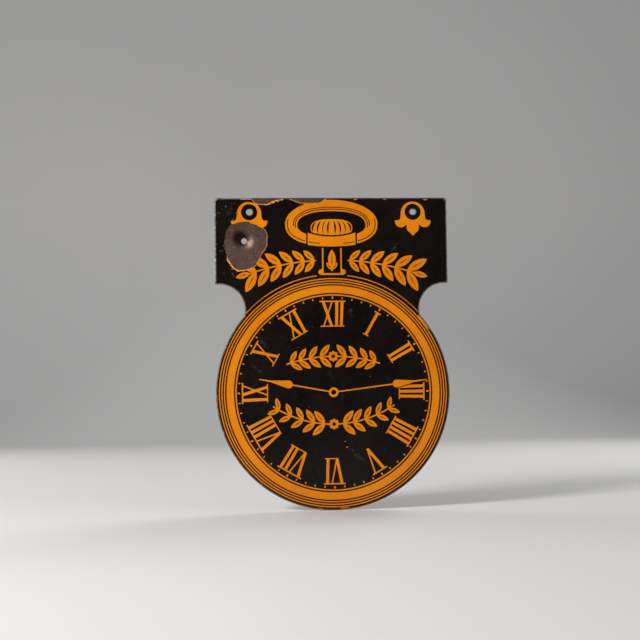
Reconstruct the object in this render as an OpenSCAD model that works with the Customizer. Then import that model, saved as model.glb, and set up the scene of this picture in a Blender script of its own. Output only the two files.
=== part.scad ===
// Double-sided trade sign in the shape of a pocket watch, stove-enamelled on sheet steel.
// One steel blank carries a dipped ground coat, an orange coat on each face and, over that,
// the black coat, whose stencilled windows let the orange show as the drawing.
// Front faces -Y, +Z is up. The origin is midway between the two hanging holes, in the sheet.

/* [Plate] */
// Overall width, which is also the diameter of the watch case
plate_w = 228.6; // [215:0.1:245]
// Overall height
plate_h = 304.8; // [300:0.1:315]
// Thickness of the steel
sheet_t = 1.2; // [0.8:0.1:2]
// Straight height of the upper panel's sides
side_h = 84.5; // [80:0.1:90]
// Radius of the notches between the panel and the case
notch_r = 25; // [22:0.1:27]
// Distance of a notch's centre from the side of the plate
notch_in = 3.8; // [2:0.1:6]
// Radius of the panel's top corners
corner_r = 3.5; // [1:0.1:8]

/* [Enamel] */
// Thickness of the ground coat, on both faces, the edge and the hole walls
ground_t = 0.12; // [0.06:0.01:0.25]
// Thickness of the orange coat
orange_t = 0.15; // [0.08:0.01:0.3]
// Thickness of the black coat
black_t = 0.15; // [0.08:0.01:0.3]
// Width of the bare rim along the edge
rim_w = 1.1; // [0.6:0.1:2]
// How far the black stops short of the orange
lip_w = 0.15; // [0.1:0.05:0.8]

/* [Hanging holes] */
// Diameter of a hanging hole, inside its ground coat
hole_d = 5.8; // [4:0.1:7]
// Distance of a hanging hole from the side of the plate
hole_in = 33.8; // [32:0.1:38]
// Distance of the hanging holes below the top edge
hole_drop = 14; // [13:0.1:17]
// How far the orange coat stops short of a hole
orange_clear = 0.8; // [0.2:0.1:0.9]
// How far the black coat stops short of a hole
black_clear = 0.9; // [0.3:0.1:1.6]
// Radius of the black disc round a hole
disc_r = 7.9; // [6:0.1:9]
// Width of the bell flower round a hole
bell_w = 35.6; // [32:0.1:38]

/* [Case] */
// Width of the thin line round the case
outline_w = 1.0; // [0.6:0.1:1.6]
// Half of the opening that the thin line leaves for the neck
outline_gap = 15; // [14.6:0.1:18]
// Black between the edge of the case and its first line
case_gap = 2.7; // [2.2:0.1:3.2]
// Number of lines on the case
case_lines = 3; // [2:1:4]
// Width of a case line
line_w = 1.2; // [0.9:0.1:1.6]
// Black between case lines
line_gap = 1.25; // [0.6:0.05:1.4]
// Width of the broad band of the case
band_w = 7.25; // [6:0.05:8.5]
// Black between the broad band and the chapter ring
chapter_gap = 1.3; // [0.6:0.1:1.6]
// Width of the chapter ring
chapter_w = 1.4; // [1:0.1:1.6]

/* [Dial] */
// Distance of the minute marks from the chapter ring
mark_gap = 1.2; // [1:0.1:1.4]
// Length of a minute mark
mark_l = 2; // [1.4:0.1:2.6]
// Width of a minute mark
mark_w = 1.2; // [0.8:0.1:1.8]
// Width of the mark at an hour
hour_mark_w = 1.6; // [1.2:0.1:2.4]
// How far a mark at an hour runs out past the others
hour_mark_out = 0.4; // [0.2:0.1:0.8]
// Distance of the numerals from the minute marks
numeral_gap = 1.7; // [1:0.1:2.4]
// Height of the numerals
numeral_h = 25.5; // [22:0.5:28]
// Width of a thick stroke
thick_w = 3.1; // [2.4:0.1:3.4]
// Width of a thin stroke
thin_w = 1.5; // [1:0.1:2]
// Space between strokes
stroke_gap = 2.1; // [1.6:0.1:2.4]
// Width of the numeral for five, without its serifs
five_w = 12.3; // [11:0.1:13]
// Width of the numeral for ten, without its serifs
ten_w = 11.6; // [10.5:0.1:12.5]
// Thickness of the outer serif bar
serif_t = 1.4; // [0.9:0.1:1.8]
// How far a serif bar runs past the strokes
serif_over = 1.9; // [1:0.1:2.2]

/* [Hands] */
// Hour that the hands show
show_hour = 9; // [1:1:12]
// Minute that the hands show
show_minute = 14; // [0:1:59]
// Distance of the hour hand's tip from the edge of the dial
hour_tip = 20.5; // [17:0.1:26]
// Distance of the minute hand's tip from the edge of the dial
minute_tip = 1.9; // [1:0.1:5]
// Distance of the hour hand's drop from the ring of the numerals' feet
hour_drop_in = 19.3; // [16:0.1:24]
// Distance of the minute hand's drop from that ring
minute_drop_in = 1.5; // [0.5:0.1:6]
// Width of a hand's stem
stem_w = 1.4; // [1.2:0.1:2.4]
// Radius of a hand's drop
drop_r = 3.9; // [3:0.1:4.6]
// Outer radius of the hub ring
hub_r = 4.8; // [4:0.1:6]
// Width of the hub ring
hub_w = 2.4; // [1.6:0.1:3]
// Black kept round a hand where it crosses a numeral
halo_w = 0.8; // [0.4:0.1:1.2]

/* [Bow and crown] */
// Width of the bow
bow_w = 91; // [84:0.5:96]
// Distance of the bow's widest line below the top edge
bow_drop = 25.5; // [25:0.1:27]
// Height of the bow above its widest line
bow_rise = 23.5; // [21:0.1:23.6]
// Depth of the bow below its widest line
bow_fall = 22; // [20:0.1:23]
// Width of the bow's wire at the sides
wire_side = 12; // [10:0.1:13]
// Width of the bow's wire at the top
wire_top = 11.2; // [10:0.1:12]
// Width of the bow's wire at the bottom
wire_low = 9; // [8:0.1:10]
// How far the eye sits below the bow's widest line
eye_drop = 1.5; // [0.5:0.1:2.5]
// Width of the collar between the bow's ends
collar_w = 47; // [44:0.1:50]
// Thickness of the collar in the middle
collar_t = 9.8; // [8.5:0.1:10.5]
// Radius of the collar's dished top
collar_dish = 73; // [65:1:85]
// Black gap between the collar and its neighbours
seam_w = 1.4; // [0.8:0.1:2]
// Width of the crown
crown_w = 41; // [36:0.1:43]
// Height of the crown
crown_h = 17; // [14:0.1:17.5]
// Number of flutes on each half of the crown
flutes = 4; // [2:1:4]
// Distance between flutes
flute_pitch = 4.9; // [4:0.1:5]
// Width of a bold line between flutes
flute_w = 1.7; // [0.8:0.1:1.8]
// Width of a fine line between flutes
flute_fine_w = 0.9; // [0.6:0.1:1.2]
// Width of the engraved lines on the bow
engrave_w = 0.8; // [0.4:0.1:1]

/* [Neck] */
// Width between the neck's side lines
neck_w = 18; // [15:0.1:20]
// Width of a side line
neck_line = 1.5; // [1:0.1:2]
// Width of the flange at the foot of the neck
flange_w = 27; // [24:0.1:28]
// Thickness of the flange
flange_t = 1.9; // [1.4:0.1:2.4]
// Radius of the flange's rolled ends
roll_r = 2.6; // [2:0.1:3]

/* [Leaf work] */
// Pairs of leaves in a spray beside the neck
spray_pairs = 6; // [4:1:6]
// Length of the first leaf of a spray
spray_leaf = 15; // [11:0.5:16]
// Length of the last leaf of a spray
spray_tip = 28; // [22:0.5:29]
// Width of a leaf as a share of its length
leaf_ratio = 0.38; // [0.25:0.01:0.4]
// Pairs of leaves on each half of the dial's arch
arch_pairs = 4; // [3:1:4]
// Pairs of leaves on each half of the dial's swag
swag_pairs = 5; // [3:1:5]
// Length of a leaf on the dial
dial_leaf = 15.5; // [12:0.5:17]
// Angle between a leaf and its stem
leaf_tilt = 46; // [38:1:52]
// Radius of the stem of the sprays
spray_r = 259; // [240:1:280]
// Height of that stem above the case
spray_rise = 15; // [13.5:0.1:16.5]
// Radius of the stem of the arch on the dial
arch_r = 145; // [130:1:165]
// Distance of the arch's crown from the ring of the numerals' feet
arch_drop = 28.9; // [27:0.1:31]
// Distance of the arch's first leaves from that ring
arch_room = 21.9; // [20:0.1:24]
// Radius of the stem of the swag on the dial
swag_r = 107; // [95:1:125]
// Distance of the swag's lowest point from that ring
swag_drop = 32.9; // [31:0.1:35]
// Distance of the swag's last leaves from that ring
swag_room = 10.9; // [10:0.1:14]
// Width of the stems
twig_w = 1.5; // [1:0.1:2]
// Width of a leaf's vein
vein_w = 0.8; // [0.5:0.1:1.2]
// Radius of the rosettes
rosette_r = 5.2; // [4:0.1:6]

/* [Damage] */
// Diameter of the shot hole
shot_d = 5.8; // [4.5:0.1:7]
// Distance of the shot hole from the middle, to the left of the front
shot_x = 85.5; // [80:0.5:88]
// Distance of the shot hole below the top edge
shot_drop = 42; // [40:0.5:44]
// Radius of the dent round the shot hole
dent_r = 13; // [12:0.5:17]
// Depth of the dent at the shot hole
dent_d = 3.6; // [1.5:0.1:4]
// Mean radius of the bare patch on the front
spall_r = 22; // [20:0.5:23]
// Mean radius of the bare patch on the back
burst_r = 25; // [22:0.5:26]
// Step from one broken coat to the next
chip_step = 0.8; // [0.4:0.1:1.2]
// Radius of the place where the black is worn off the case's edge
worn_r = 5; // [3:0.5:7]
// Angle of that place above the right
worn_a = 37.2; // [34:0.1:40]

/* [Hidden] */
$fn = 96;

STEEL = "#8a8078";
GROUND = "#4a4d55";
ORANGE = "#e0800c";
BLACK = "#16120f";

// Places on the drawing, measured from the dial's centre
case_r = plate_w / 2;
top_z = plate_h - case_r;
shoulder_z = top_z - side_h;
notch_x = case_r - notch_in;
notch_z = shoulder_z - notch_r;
hole_x = case_r - hole_in;
hole_z = top_z - hole_drop;
hole_r = hole_d / 2;
shot_z = top_z - shot_drop;
big = 2 * plate_h;

// Levels of the coats above the middle of the sheet
ground_y = sheet_t / 2;
orange_y = ground_y + ground_t;
black_y = orange_y + orange_t;

// Radii of the case and the dial
line_r = case_r - case_gap;
band_r = line_r - case_lines * (line_w + line_gap);
chapter_r = band_r - band_w - chapter_gap;
dial_r = chapter_r - chapter_w;
mark_r = dial_r - mark_gap;
numeral_r = mark_r - mark_l - numeral_gap;
foot_r = numeral_r - numeral_h;
hour_l = dial_r - hour_tip;
minute_l = dial_r - minute_tip;
hour_drop = foot_r - hour_drop_in;
minute_drop = foot_r - minute_drop_in;
foot_t = 0.8 * serif_t;
foot_over = 0.75 * serif_over;
converge = 0.88;

// Bow, eye, collar and crown
bow_z = top_z - bow_drop;
bow_a = bow_w / 2;
eye_a = bow_a - wire_side;
eye_z = bow_z - eye_drop;
eye_rise = bow_rise - wire_top + eye_drop;
eye_fall = bow_fall - wire_low - eye_drop;
collar_low = bow_z - bow_fall - 0.5;
collar_top = collar_low + collar_t;
collar_sag = 177;
collar_edge = 6;
crown_low = collar_top + 0.2;
neck_top = collar_low - seam_w;
flange_z = case_r + 0.2;
roll_z = flange_z + flange_t + 1.1;
sweep_z = roll_z + 1.3 * roll_r;

// Engraving: gaps from the eye to its two lines and how far these run below its widest line,
// then the inset of the line in the bow's lower edge and how far it rises above the widest line
eye_lines = [1.6, 3.5];
eye_run = 4;
low_inset = 1.9;
low_rise = 5;

// Crown: share of its height above its widest line, how square it is, and the size of the grooves
// that part its lobes along its foot
crown_up = 0.53;
crown_square = 2.6;
groove_w = 2.8;
groove_d = 0.8;

// Crown flutes: place of the first as a share of their pitch, height as a share of the crown's,
// how far in the top's height is read as a share of a flute's place, bulge and lean of the first
// and what each next one adds, and which line on the right is a fine one, the left's being next
flute_first = 0.735;
flute_share = 0.84;
flute_in = 0.8;
flute_bulge = 2;
flute_fan = 0.2;
flute_lean = 5.5;
lean_fan = 4.5;
fine_flute = 2;

// Stems of the leaf work: height of each arc's centre, and how far to the sides its leaves reach
arch_z = foot_r - arch_drop;
swag_z = swag_drop - foot_r;
spray_cz = case_r + spray_rise - spray_r;
arch_cz = arch_z - arch_r;
swag_cz = swag_z + swag_r;
twig_end = 2;
spray_from = neck_w - 1;
spray_to = notch_x - notch_r - 11.5;
arch_to = foot_r - arch_room;
swag_to = foot_r - swag_room;

// Palmette in the neck: its foot, the space round it, and the angle and length of its side leaves
palm_gap = 3;
palm_z = flange_z + flange_t + palm_gap;
palm_spread = 36;
palm_side = 0.52;

// Width that the bell flower is drawn at
bell_drawn = 35.6;

// How far the printed hands stand off their true angles
hour_lean = -3.5;
minute_lean = 1;

// Broken edges as shares of their mean radius, every 15 degrees from the right
SPALL = [1, 1.03, 1.05, 0.89, 0.85, 0.85, 0.85, 0.84, 0.85, 0.95, 0.9, 0.86,
    0.88, 0.91, 0.95, 1.02, 1.18, 1.34, 1.27, 1.25, 1.14, 0.98, 0.94, 1.03];
BURST = [0.98, 0.9, 1.0, 1.06, 0.9, 0.82, 0.8, 0.84, 0.88, 0.94, 1.0, 0.96,
    0.9, 0.98, 1.08, 1.12, 1.02, 1.1, 1.24, 1.18, 1.0, 0.92, 1.04, 1.06];

// Chips in the top edge: place across, width and depth
FRONT_CHIPS = [[-67, 38, 6.4], [-23, 36, 4.8], [24, 5, 1.9], [53, 4, 1.7], [93, 6, 2]];
BACK_CHIPS = [[38, 26, 4.6], [-58, 16, 3.2], [-8, 5, 1.9]];

// Numerals in clock order, and the width of each sign
NUMERALS = ["XII", "I", "II", "III", "IIII", "V", "VI", "VII", "VIII", "IX", "X", "XI"];
function sign_w(c) = c == "X" ? ten_w : c == "V" ? five_w : thick_w;
function text_w(s, i = 0) = i >= len(s) ? -stroke_gap : sign_w(s[i]) + stroke_gap + text_w(s, i + 1);
function left_of(s, k) = k == 0 ? -text_w(s) / 2 : left_of(s, k - 1) + sign_w(s[k - 1]) + stroke_gap;

// Middle of a sign's left and right edge strokes: outer end, waist and inner end
function left_edge(s, k) = let (x = left_of(s, k), w = sign_w(s[k]))
    s[k] == "I" ? [[x + w / 2, numeral_r], [converge * (x + w / 2), foot_r]]
    : s[k] == "V" ? [[x + thick_w / 2, numeral_r], [apex_x(s, k), foot_r]]
    : [[x + thick_w / 2, numeral_r], waist(s, k), [converge * (x + thin_w / 2), foot_r]];
function right_edge(s, k) = let (x = left_of(s, k) + sign_w(s[k]))
    s[k] == "I" ? left_edge(s, k)
    : s[k] == "V" ? [[x - thin_w / 2, numeral_r], [apex_x(s, k), foot_r]]
    : [[x - thin_w / 2, numeral_r], waist(s, k), [converge * (x - thick_w / 2), foot_r]];
function apex_x(s, k) = converge * (left_of(s, k) + five_w / 2);
function waist(s, k) = let (m = left_of(s, k) + ten_w / 2)
    [(1 + converge) / 2 * m, (numeral_r + foot_r) / 2];
function turned(p) = [for (i = [len(p) - 1:-1:0]) p[i]];

// Closed oval: half width, rise, fall, and how square the upper and lower halves are
function oval(a, rise, fall, up, low) = [for (i = [0:3:357]) let (c = cos(i), s = sin(i))
    s >= 0 ? [a * sign(c) * pow(abs(c), 2 / up), rise * pow(s, 2 / up)]
    : [a * sign(c) * pow(abs(c), 2 / low), -fall * pow(-s, 2 / low)]];

function mix(a, b, t) = a + (b - a) * t;

// How far the dent sinks the sheet at a share of the way out to its rim
function sink(u) = dent_d * pow(1 - u, 2.2);

// Outline of the enamelled sign, drawn in by an inset
module outline_2d(inset) {
    disc = case_r - inset;
    bite = notch_r + inset;
    d = norm([notch_x, notch_z]);
    inside_z = notch_z * (disc * disc - bite * bite + d * d) / (2 * d * d);
    circle(disc);
    difference() {
        translate([-notch_x, inside_z]) square([2 * notch_x, shoulder_z + inset - inside_z + 0.01]);
        for (s = [-1, 1]) translate([s * notch_x, notch_z]) circle(bite);
    }
    difference() {
        translate([-disc, shoulder_z + inset]) square([2 * disc, side_h - 2 * inset]);
        for (s = [-1, 1]) translate([s * (disc - corner_r), top_z - inset - corner_r])
            mirror([s < 0 ? 1 : 0, 0]) corner_2d();
    }
}

// What a rounded corner takes off a square one
module corner_2d() {
    difference() {
        square(corner_r + 1);
        circle(corner_r);
    }
}

// Both hanging holes at a radius
module holes_2d(r) {
    for (s = [-1, 1]) translate([s * hole_x, hole_z]) circle(r);
}

// Bare patch round the shot hole, as seen from its own side
module patch_2d(side, step) {
    shares = side == "front" ? SPALL : BURST;
    mean = side == "front" ? spall_r : burst_r;
    across = side == "front" ? -shot_x : shot_x;
    translate([across, shot_z])
        polygon([for (i = [0:len(shares) - 1]) (mean * shares[i] + step) * [cos(15 * i), sin(15 * i)]]);
}

// Chips in the top edge: each is a segment of a circle
module chips_2d(side, step) {
    for (c = side == "front" ? FRONT_CHIPS : BACK_CHIPS) {
        r = (c[1] * c[1] / 4 + c[2] * c[2]) / (2 * c[2]);
        translate([c[0], top_z - c[2] + r]) circle(r + step);
    }
}

// Broken edge of one coat on one side
module broken_2d(side, step) {
    patch_2d(side, step);
    chips_2d(side, step);
}

// Ring between two radii
module ring_2d(outer, width) {
    difference() {
        circle(outer);
        circle(outer - width);
    }
}

// Leaf from the origin along +X
module leaf_2d(l, w) {
    r = (l * l + w * w) / (4 * w);
    translate([l / 2, 0]) intersection() {
        translate([0, r - w / 2]) circle(r);
        translate([0, w / 2 - r]) circle(r);
    }
}

// Crescent of a height that bulges towards +X, its widest line at x = 0
module crescent_2d(h, bulge, w) {
    flat = bulge - w;
    outer = (h * h / 4 + bulge * bulge) / (2 * bulge);
    inner = (h * h / 4 + flat * flat) / (2 * flat);
    difference() {
        translate([w / 2 - outer, 0]) circle(outer);
        translate([-w / 2 - inner, 0]) circle(inner);
        translate([w / 2 - bulge - 2 * outer, -outer - 1]) square([2 * outer, 2 * outer + 2]);
    }
}

// Frame at an angle on an arc: +X along it clockwise, +Y outwards
module on_arc(cz, r, a) {
    translate([0, cz]) rotate(-a) translate([0, r]) children();
}

// One leaf, or the vein inside it, which is a slim lozenge
module leaf_or_vein_2d(l, part) {
    if (part == "leaf") leaf_2d(l, leaf_ratio * l);
    else polygon([[0.24 * l, 0], [0.4 * l, vein_w / 2], [0.84 * l, 0], [0.4 * l, -vein_w / 2]]);
}

// Pairs of leaves along an arc, from angle a0 to a1, growing from one length to another
module pairs_2d(cz, r, a0, a1, count, l0, l1, way, part) {
    for (i = [0:count - 1]) {
        t = count > 1 ? i / (count - 1) : 0;
        l = mix(l0, l1, t);
        on_arc(cz, r, mix(a0, a1, pow(t, 1.12))) for (s = [-1, 1])
            mirror([way < 0 ? 1 : 0, 0]) rotate(s * leaf_tilt) leaf_or_vein_2d(l, part);
    }
}

// Stem along an arc between two angles under 180 degrees apart
module twig_2d(cz, r, a0, a1) {
    intersection() {
        translate([0, cz]) ring_2d(r + twig_w / 2, twig_w);
        translate([0, cz]) polygon([[0, 0], 2 * r * [sin(a0), cos(a0)], 2 * r * [sin(a1), cos(a1)]]);
    }
}

// Right half of the leaf work above and on the dial
module half_leaves_2d(part) {
    s0 = asin(spray_from / spray_r);
    s1 = asin(spray_to / spray_r);
    pairs_2d(spray_cz, spray_r, s0, s1, spray_pairs, spray_leaf, spray_tip - 5, 1, part);
    on_arc(spray_cz, spray_r, s1) translate([6, 0]) leaf_or_vein_2d(0.54 * spray_tip, part);
    b0 = asin(arch_to / arch_r);
    b1 = asin((rosette_r + 8) / arch_r);
    pairs_2d(arch_cz, arch_r, b0, b1, arch_pairs, dial_leaf - 2, dial_leaf, -1, part);
    c0 = 180 - asin((rosette_r + 3.5) / swag_r);
    c1 = 180 - asin(swag_to / swag_r);
    pairs_2d(swag_cz, swag_r, c0, c1, swag_pairs, dial_leaf + 1, dial_leaf - 3, -1, part);
    if (part == "leaf") {
        twig_2d(spray_cz, spray_r, s0 - 0.3, s1 + twig_end);
        twig_2d(arch_cz, arch_r, 0, b0 + 1.6);
        twig_2d(swag_cz, swag_r, c1 - 2 * twig_end, 180);
    }
}

// All the leaf work: leaves and stems, or the veins
module leaves_2d(part) {
    for (m = [0, 1]) mirror([m, 0]) half_leaves_2d(part);
    translate([0, palm_z]) {
        rotate(90) leaf_or_vein_2d(neck_top - palm_z - palm_gap / 2, part);
        for (s = [-1, 1]) rotate(90 + s * palm_spread) leaf_or_vein_2d(palm_side * neck_w, part);
        if (part == "leaf") circle(0.7 * twig_w);
    }
}

// Rosette of eight petals about the origin
module rosette_2d() {
    circle(0.66 * rosette_r);
    for (i = [0:7]) rotate(45 * i) translate([0.7 * rosette_r, 0]) circle(0.3 * rosette_r);
}

// What stands in the middle of the arch and of the swag
module at_middles() {
    translate([0, arch_z]) children();
    translate([0, swag_z]) children();
}

// Bow without its eye, cut for the collar
module bow_2d() {
    slot = collar_w / 2 + seam_w;
    difference() {
        translate([0, bow_z]) polygon(oval(bow_a, bow_rise, bow_fall, 2, 2.4));
        translate([0, eye_z]) polygon(oval(eye_a, eye_rise, eye_fall, 2.3, 2.3));
        translate([-slot, bow_z - big]) square([2 * slot, big]);
    }
}

// Collar: a bar with a dished top and a slightly rounded foot
module collar_2d() {
    intersection() {
        difference() {
            translate([-collar_w / 2, collar_low]) square([collar_w, collar_t + collar_edge]);
            translate([0, collar_top + collar_dish]) circle(collar_dish);
        }
        translate([0, collar_low + collar_sag]) circle(collar_sag);
    }
}

// Flute of the crown: its place, and the heights of the crown's top over it and foot under it
function flute_x(i) = (i + flute_first) * flute_pitch;
function flute_top(i) = crown_low + crown_h * (1 - crown_up + crown_up
    * pow(1 - pow(flute_in * flute_x(i) / (crown_w / 2), crown_square), 1 / crown_square));
function flute_foot(i) = collar_top + collar_dish
    - sqrt(pow(collar_dish - seam_w, 2) - pow(flute_x(i), 2));

// Crown: rounded, grooved along its foot and seated in the collar's dish across a seam
module crown_2d() {
    fall = (1 - crown_up) * crown_h;
    difference() {
        intersection() {
            translate([0, collar_top + collar_dish]) circle(collar_dish - seam_w);
            translate([0, crown_low + fall])
                polygon(oval(crown_w / 2, crown_up * crown_h, fall, crown_square, crown_square));
        }
        for (s = [0, 1], i = [0:flutes - 1]) mirror([s, 0]) translate([flute_x(i), flute_foot(i)])
            polygon([[-groove_w / 2, -1], [groove_w / 2, -1], [0, groove_d]]);
    }
}

// Neck: its side lines and the flange with rolled ends
module neck_2d() {
    for (s = [-1, 1]) {
        translate([s * neck_w / 2 - neck_line / 2, roll_z]) square([neck_line, neck_top - roll_z]);
        translate([s * (flange_w / 2 - roll_r), roll_z]) circle(roll_r);
        polygon([[s * (neck_w - neck_line) / 2, flange_z + flange_t],
            [s * (neck_w - neck_line) / 2, sweep_z],
            [s * (neck_w + neck_line) / 2, sweep_z],
            [s * (flange_w / 2 - roll_r), roll_z + roll_r],
            [s * (flange_w / 2 - roll_r), flange_z + flange_t]]);
    }
    translate([-flange_w / 2 + roll_r, flange_z]) square([flange_w - 2 * roll_r, flange_t]);
}

// Thin line round the case, above the notches and open for the neck
module outline_line_2d() {
    intersection() {
        ring_2d(case_r + outline_w, outline_w);
        for (s = [0, 1]) mirror([s, 0]) translate([outline_gap, 0]) square(big);
    }
}

// Bell flower round a hanging hole, drawn about the hole's centre
module bell_2d() {
    scale(bell_w / bell_drawn) {
        translate([0, -1.8]) circle(12);
        difference() {
            for (s = [-1, 1]) translate([s * 11.7, -9.3]) circle(6.1);
            translate([-20, -8.3]) square([40, 20]);
        }
        polygon([[-12, -2], [12, -2], [12.3, -5.5], [13.1, -7.5], [14.6, -8.3], [11.7, -9.6],
            [6, -13], [6.2, -16.2], [5.2, -18.6], [1.6, -21.8], [0, -24], [-1.6, -21.8],
            [-5.2, -18.6], [-6.2, -16.2], [-6, -13], [-11.7, -9.6], [-14.6, -8.3],
            [-13.1, -7.5], [-12.3, -5.5]]);
    }
}

// Both bell flowers
module bells_2d() {
    for (s = [-1, 1]) translate([s * hole_x, hole_z]) bell_2d();
}

// Every orange window above the case
module upper_windows_2d() {
    bow_2d();
    collar_2d();
    crown_2d();
    neck_2d();
    outline_line_2d();
    bells_2d();
    leaves_2d("leaf");
}

// Straight stroke between an outer and an inner middle point
module stroke_2d(p, q, w, v) {
    polygon([[p[0] - w / 2, p[1]], [p[0] + w / 2, p[1]], [q[0] + v / 2, q[1]], [q[0] - v / 2, q[1]]]);
}

// One numeral, upright with its foot towards the dial's centre
module numeral_2d(s) {
    last = len(s) - 1;
    for (k = [0:last]) {
        l = left_edge(s, k);
        r = right_edge(s, k);
        if (s[k] == "X") {
            stroke_2d(l[0], r[2], thick_w, 0.9 * thick_w);
            stroke_2d(r[0], l[2], thin_w, thin_w);
        } else {
            stroke_2d(l[0], l[1], thick_w, 0.9 * thick_w);
            if (s[k] == "V") stroke_2d(r[0], r[1], thin_w, thin_w);
        }
    }
    half = text_w(s) / 2 + serif_over;
    translate([-half, numeral_r - serif_t]) square([2 * half, serif_t]);
    first_foot = left_edge(s, 0)[len(left_edge(s, 0)) - 1][0] - thick_w / 2;
    last_foot = right_edge(s, last)[len(right_edge(s, last)) - 1][0] + thick_w / 2;
    start = s[0] == "V" ? first_foot : first_foot - foot_over;
    if (s != "V") translate([start, foot_r]) square([last_foot + foot_over - start, foot_t]);
}

// Ground that a numeral closes in: inside its signs and between neighbours
module closed_2d(s) {
    for (k = [0:len(s) - 1]) {
        l = left_edge(s, k);
        r = right_edge(s, k);
        if (s[k] == "V") polygon([l[0], r[0], l[1]]);
        if (s[k] == "X") {
            polygon([l[0], r[0], l[1]]);
            polygon([l[2], r[2], l[1]]);
        }
        if (k > 0) polygon(concat(right_edge(s, k - 1), turned(l)));
    }
}

// One numeral at its hour
module at_hour(i) {
    rotate(-30 * i) children();
}

// Minute marks: those at the hours are wider and run further out
module marks_2d() {
    for (i = [0:59]) rotate(-6 * i) {
        if (i % 5 == 0) translate([-hour_mark_w / 2, mark_r - mark_l])
            square([hour_mark_w, mark_l + hour_mark_out]);
        else translate([-mark_w / 2, mark_r - mark_l]) square([mark_w, mark_l]);
    }
}

// One hand along +X, grown by a margin
module hand_2d(l, drop, grow) {
    tip = 0.45;
    neck = drop + 4.4 * drop_r;
    r = drop_r + grow;
    lean = asin((drop_r - 0.9) / (neck - drop));
    translate([0, -stem_w / 2 - grow]) square([drop, stem_w + 2 * grow]);
    translate([drop, 0]) circle(r);
    polygon([drop * [1, 0] + r * [sin(lean), cos(lean)], [neck, 0.9 + grow], [l + grow, tip + grow],
        [l + grow, -tip - grow], [neck, -0.9 - grow], drop * [1, 0] + r * [sin(lean), -cos(lean)]]);
}

// Both hands with the hub's disc, grown by a margin
module hands_2d(grow) {
    rotate(90 - 30 * (show_hour + show_minute / 60) + hour_lean) hand_2d(hour_l, hour_drop, grow);
    rotate(90 - 6 * show_minute + minute_lean) hand_2d(minute_l, minute_drop, grow);
    circle(hub_r + grow);
}

// Black of the upper panel and of the case's edge
module black_field_2d(side) {
    difference() {
        outline_2d(rim_w + lip_w);
        circle(line_r);
        upper_windows_2d();
        broken_2d(side, 2 * chip_step);
        if (side == "front") rotate(worn_a) translate([case_r - 1, 0]) circle(worn_r);
    }
}

// Thin black lines of the case
module case_lines_2d() {
    for (i = [0:case_lines - 1]) ring_2d(line_r - line_w - i * (line_w + line_gap), line_gap);
}

// Black of the dial, with every window
module dial_field_2d() {
    difference() {
        circle(dial_r);
        marks_2d();
        leaves_2d("leaf");
        at_middles() rosette_2d();
        difference() {
            for (i = [0:11]) at_hour(i) {
                numeral_2d(NUMERALS[i]);
                closed_2d(NUMERALS[i]);
            }
            hands_2d(halo_w);
        }
        hands_2d(0);
    }
}

// Black inside the numerals
module dial_counters_2d() {
    difference() {
        for (i = [0:11]) at_hour(i) closed_2d(NUMERALS[i]);
        for (i = [0:11]) at_hour(i) numeral_2d(NUMERALS[i]);
        hands_2d(halo_w);
    }
}

// Black disc round the hanging hole on one side, with clearance to the hole
module hole_disc_2d(s) {
    translate([s * hole_x, hole_z]) ring_2d(disc_r, disc_r - hole_r - black_clear);
}

// Engraved lines of the bow: two over the eye, one inside the lower edge, one on the collar
module bow_lines_2d() {
    for (g = eye_lines) intersection() {
        translate([0, eye_z]) difference() {
            polygon(oval(eye_a + g + engrave_w, eye_rise + g + engrave_w, eye_fall, 2.3, 2.3));
            polygon(oval(eye_a + g, eye_rise + g, eye_fall, 2.3, 2.3));
        }
        translate([-big, eye_z - eye_run + g]) square(2 * big);
    }
    intersection() {
        translate([0, bow_z]) difference() {
            polygon(oval(bow_a - low_inset, bow_rise, bow_fall - low_inset, 2, 2.4));
            polygon(oval(bow_a - low_inset - engrave_w, bow_rise, bow_fall - low_inset - engrave_w, 2, 2.4));
        }
        for (s = [0, 1]) mirror([s, 0]) {
            translate([collar_w / 2 + seam_w + 1, bow_z + low_rise - big]) square(big);
            translate([collar_w / 4, collar_low]) square([collar_w / 4 - 1, 6]);
        }
    }
}

// Lines between the crown's flutes
module crown_flutes_2d() {
    intersection() {
        crown_2d();
        for (s = [0, 1], i = [0:flutes - 1]) mirror([s, 0]) {
            low = flute_foot(i);
            high = flute_top(i);
            bulge = flute_bulge + flute_fan * i;
            lean = flute_lean + lean_fan * i;
            width = i + s == fine_flute ? flute_fine_w : flute_w;
            translate([flute_x(i), (low + high + bulge * sin(lean)) / 2]) rotate(lean)
                crescent_2d(flute_share * (high - low), bulge, width);
        }
    }
}

// Veins of the leaves and the hearts of the rosettes, where the coat is whole
module leaf_veins_2d(side) {
    difference() {
        union() {
            intersection() {
                leaves_2d("vein");
                outline_2d(rim_w + lip_w + 1);
            }
            at_middles() circle(0.34 * rosette_r);
        }
        patch_2d(side, 2 * chip_step);
    }
}

// Turns what is drawn as seen from the front to its side of the sign
module on_face(side) {
    rotate([0, 0, side == "front" ? 0 : 180]) children();
}

// Spreads a drawing into a slab whose inner face lies at a level from the sheet's middle
module slab(level, t) {
    translate([0, -level, -hole_z]) rotate([90, 0, 0]) linear_extrude(t) children();
}

// One coat of black on one side
module black(side) {
    color(BLACK) on_face(side) slab(black_y, black_t) children();
}

// Sheet steel, punched with the hanging holes and dished by the shot
module steel_blank() {
    lining = hole_r + ground_t;
    color(STEEL) {
        slab(-sheet_t / 2, sheet_t) difference() {
            outline_2d(ground_t);
            holes_2d(lining);
            translate([-shot_x, shot_z]) circle(dent_r);
        }
        translate([-shot_x, 0, shot_z - hole_z]) rotate([-90, 0, 0]) rotate_extrude() dent_2d();
    }
}

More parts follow.
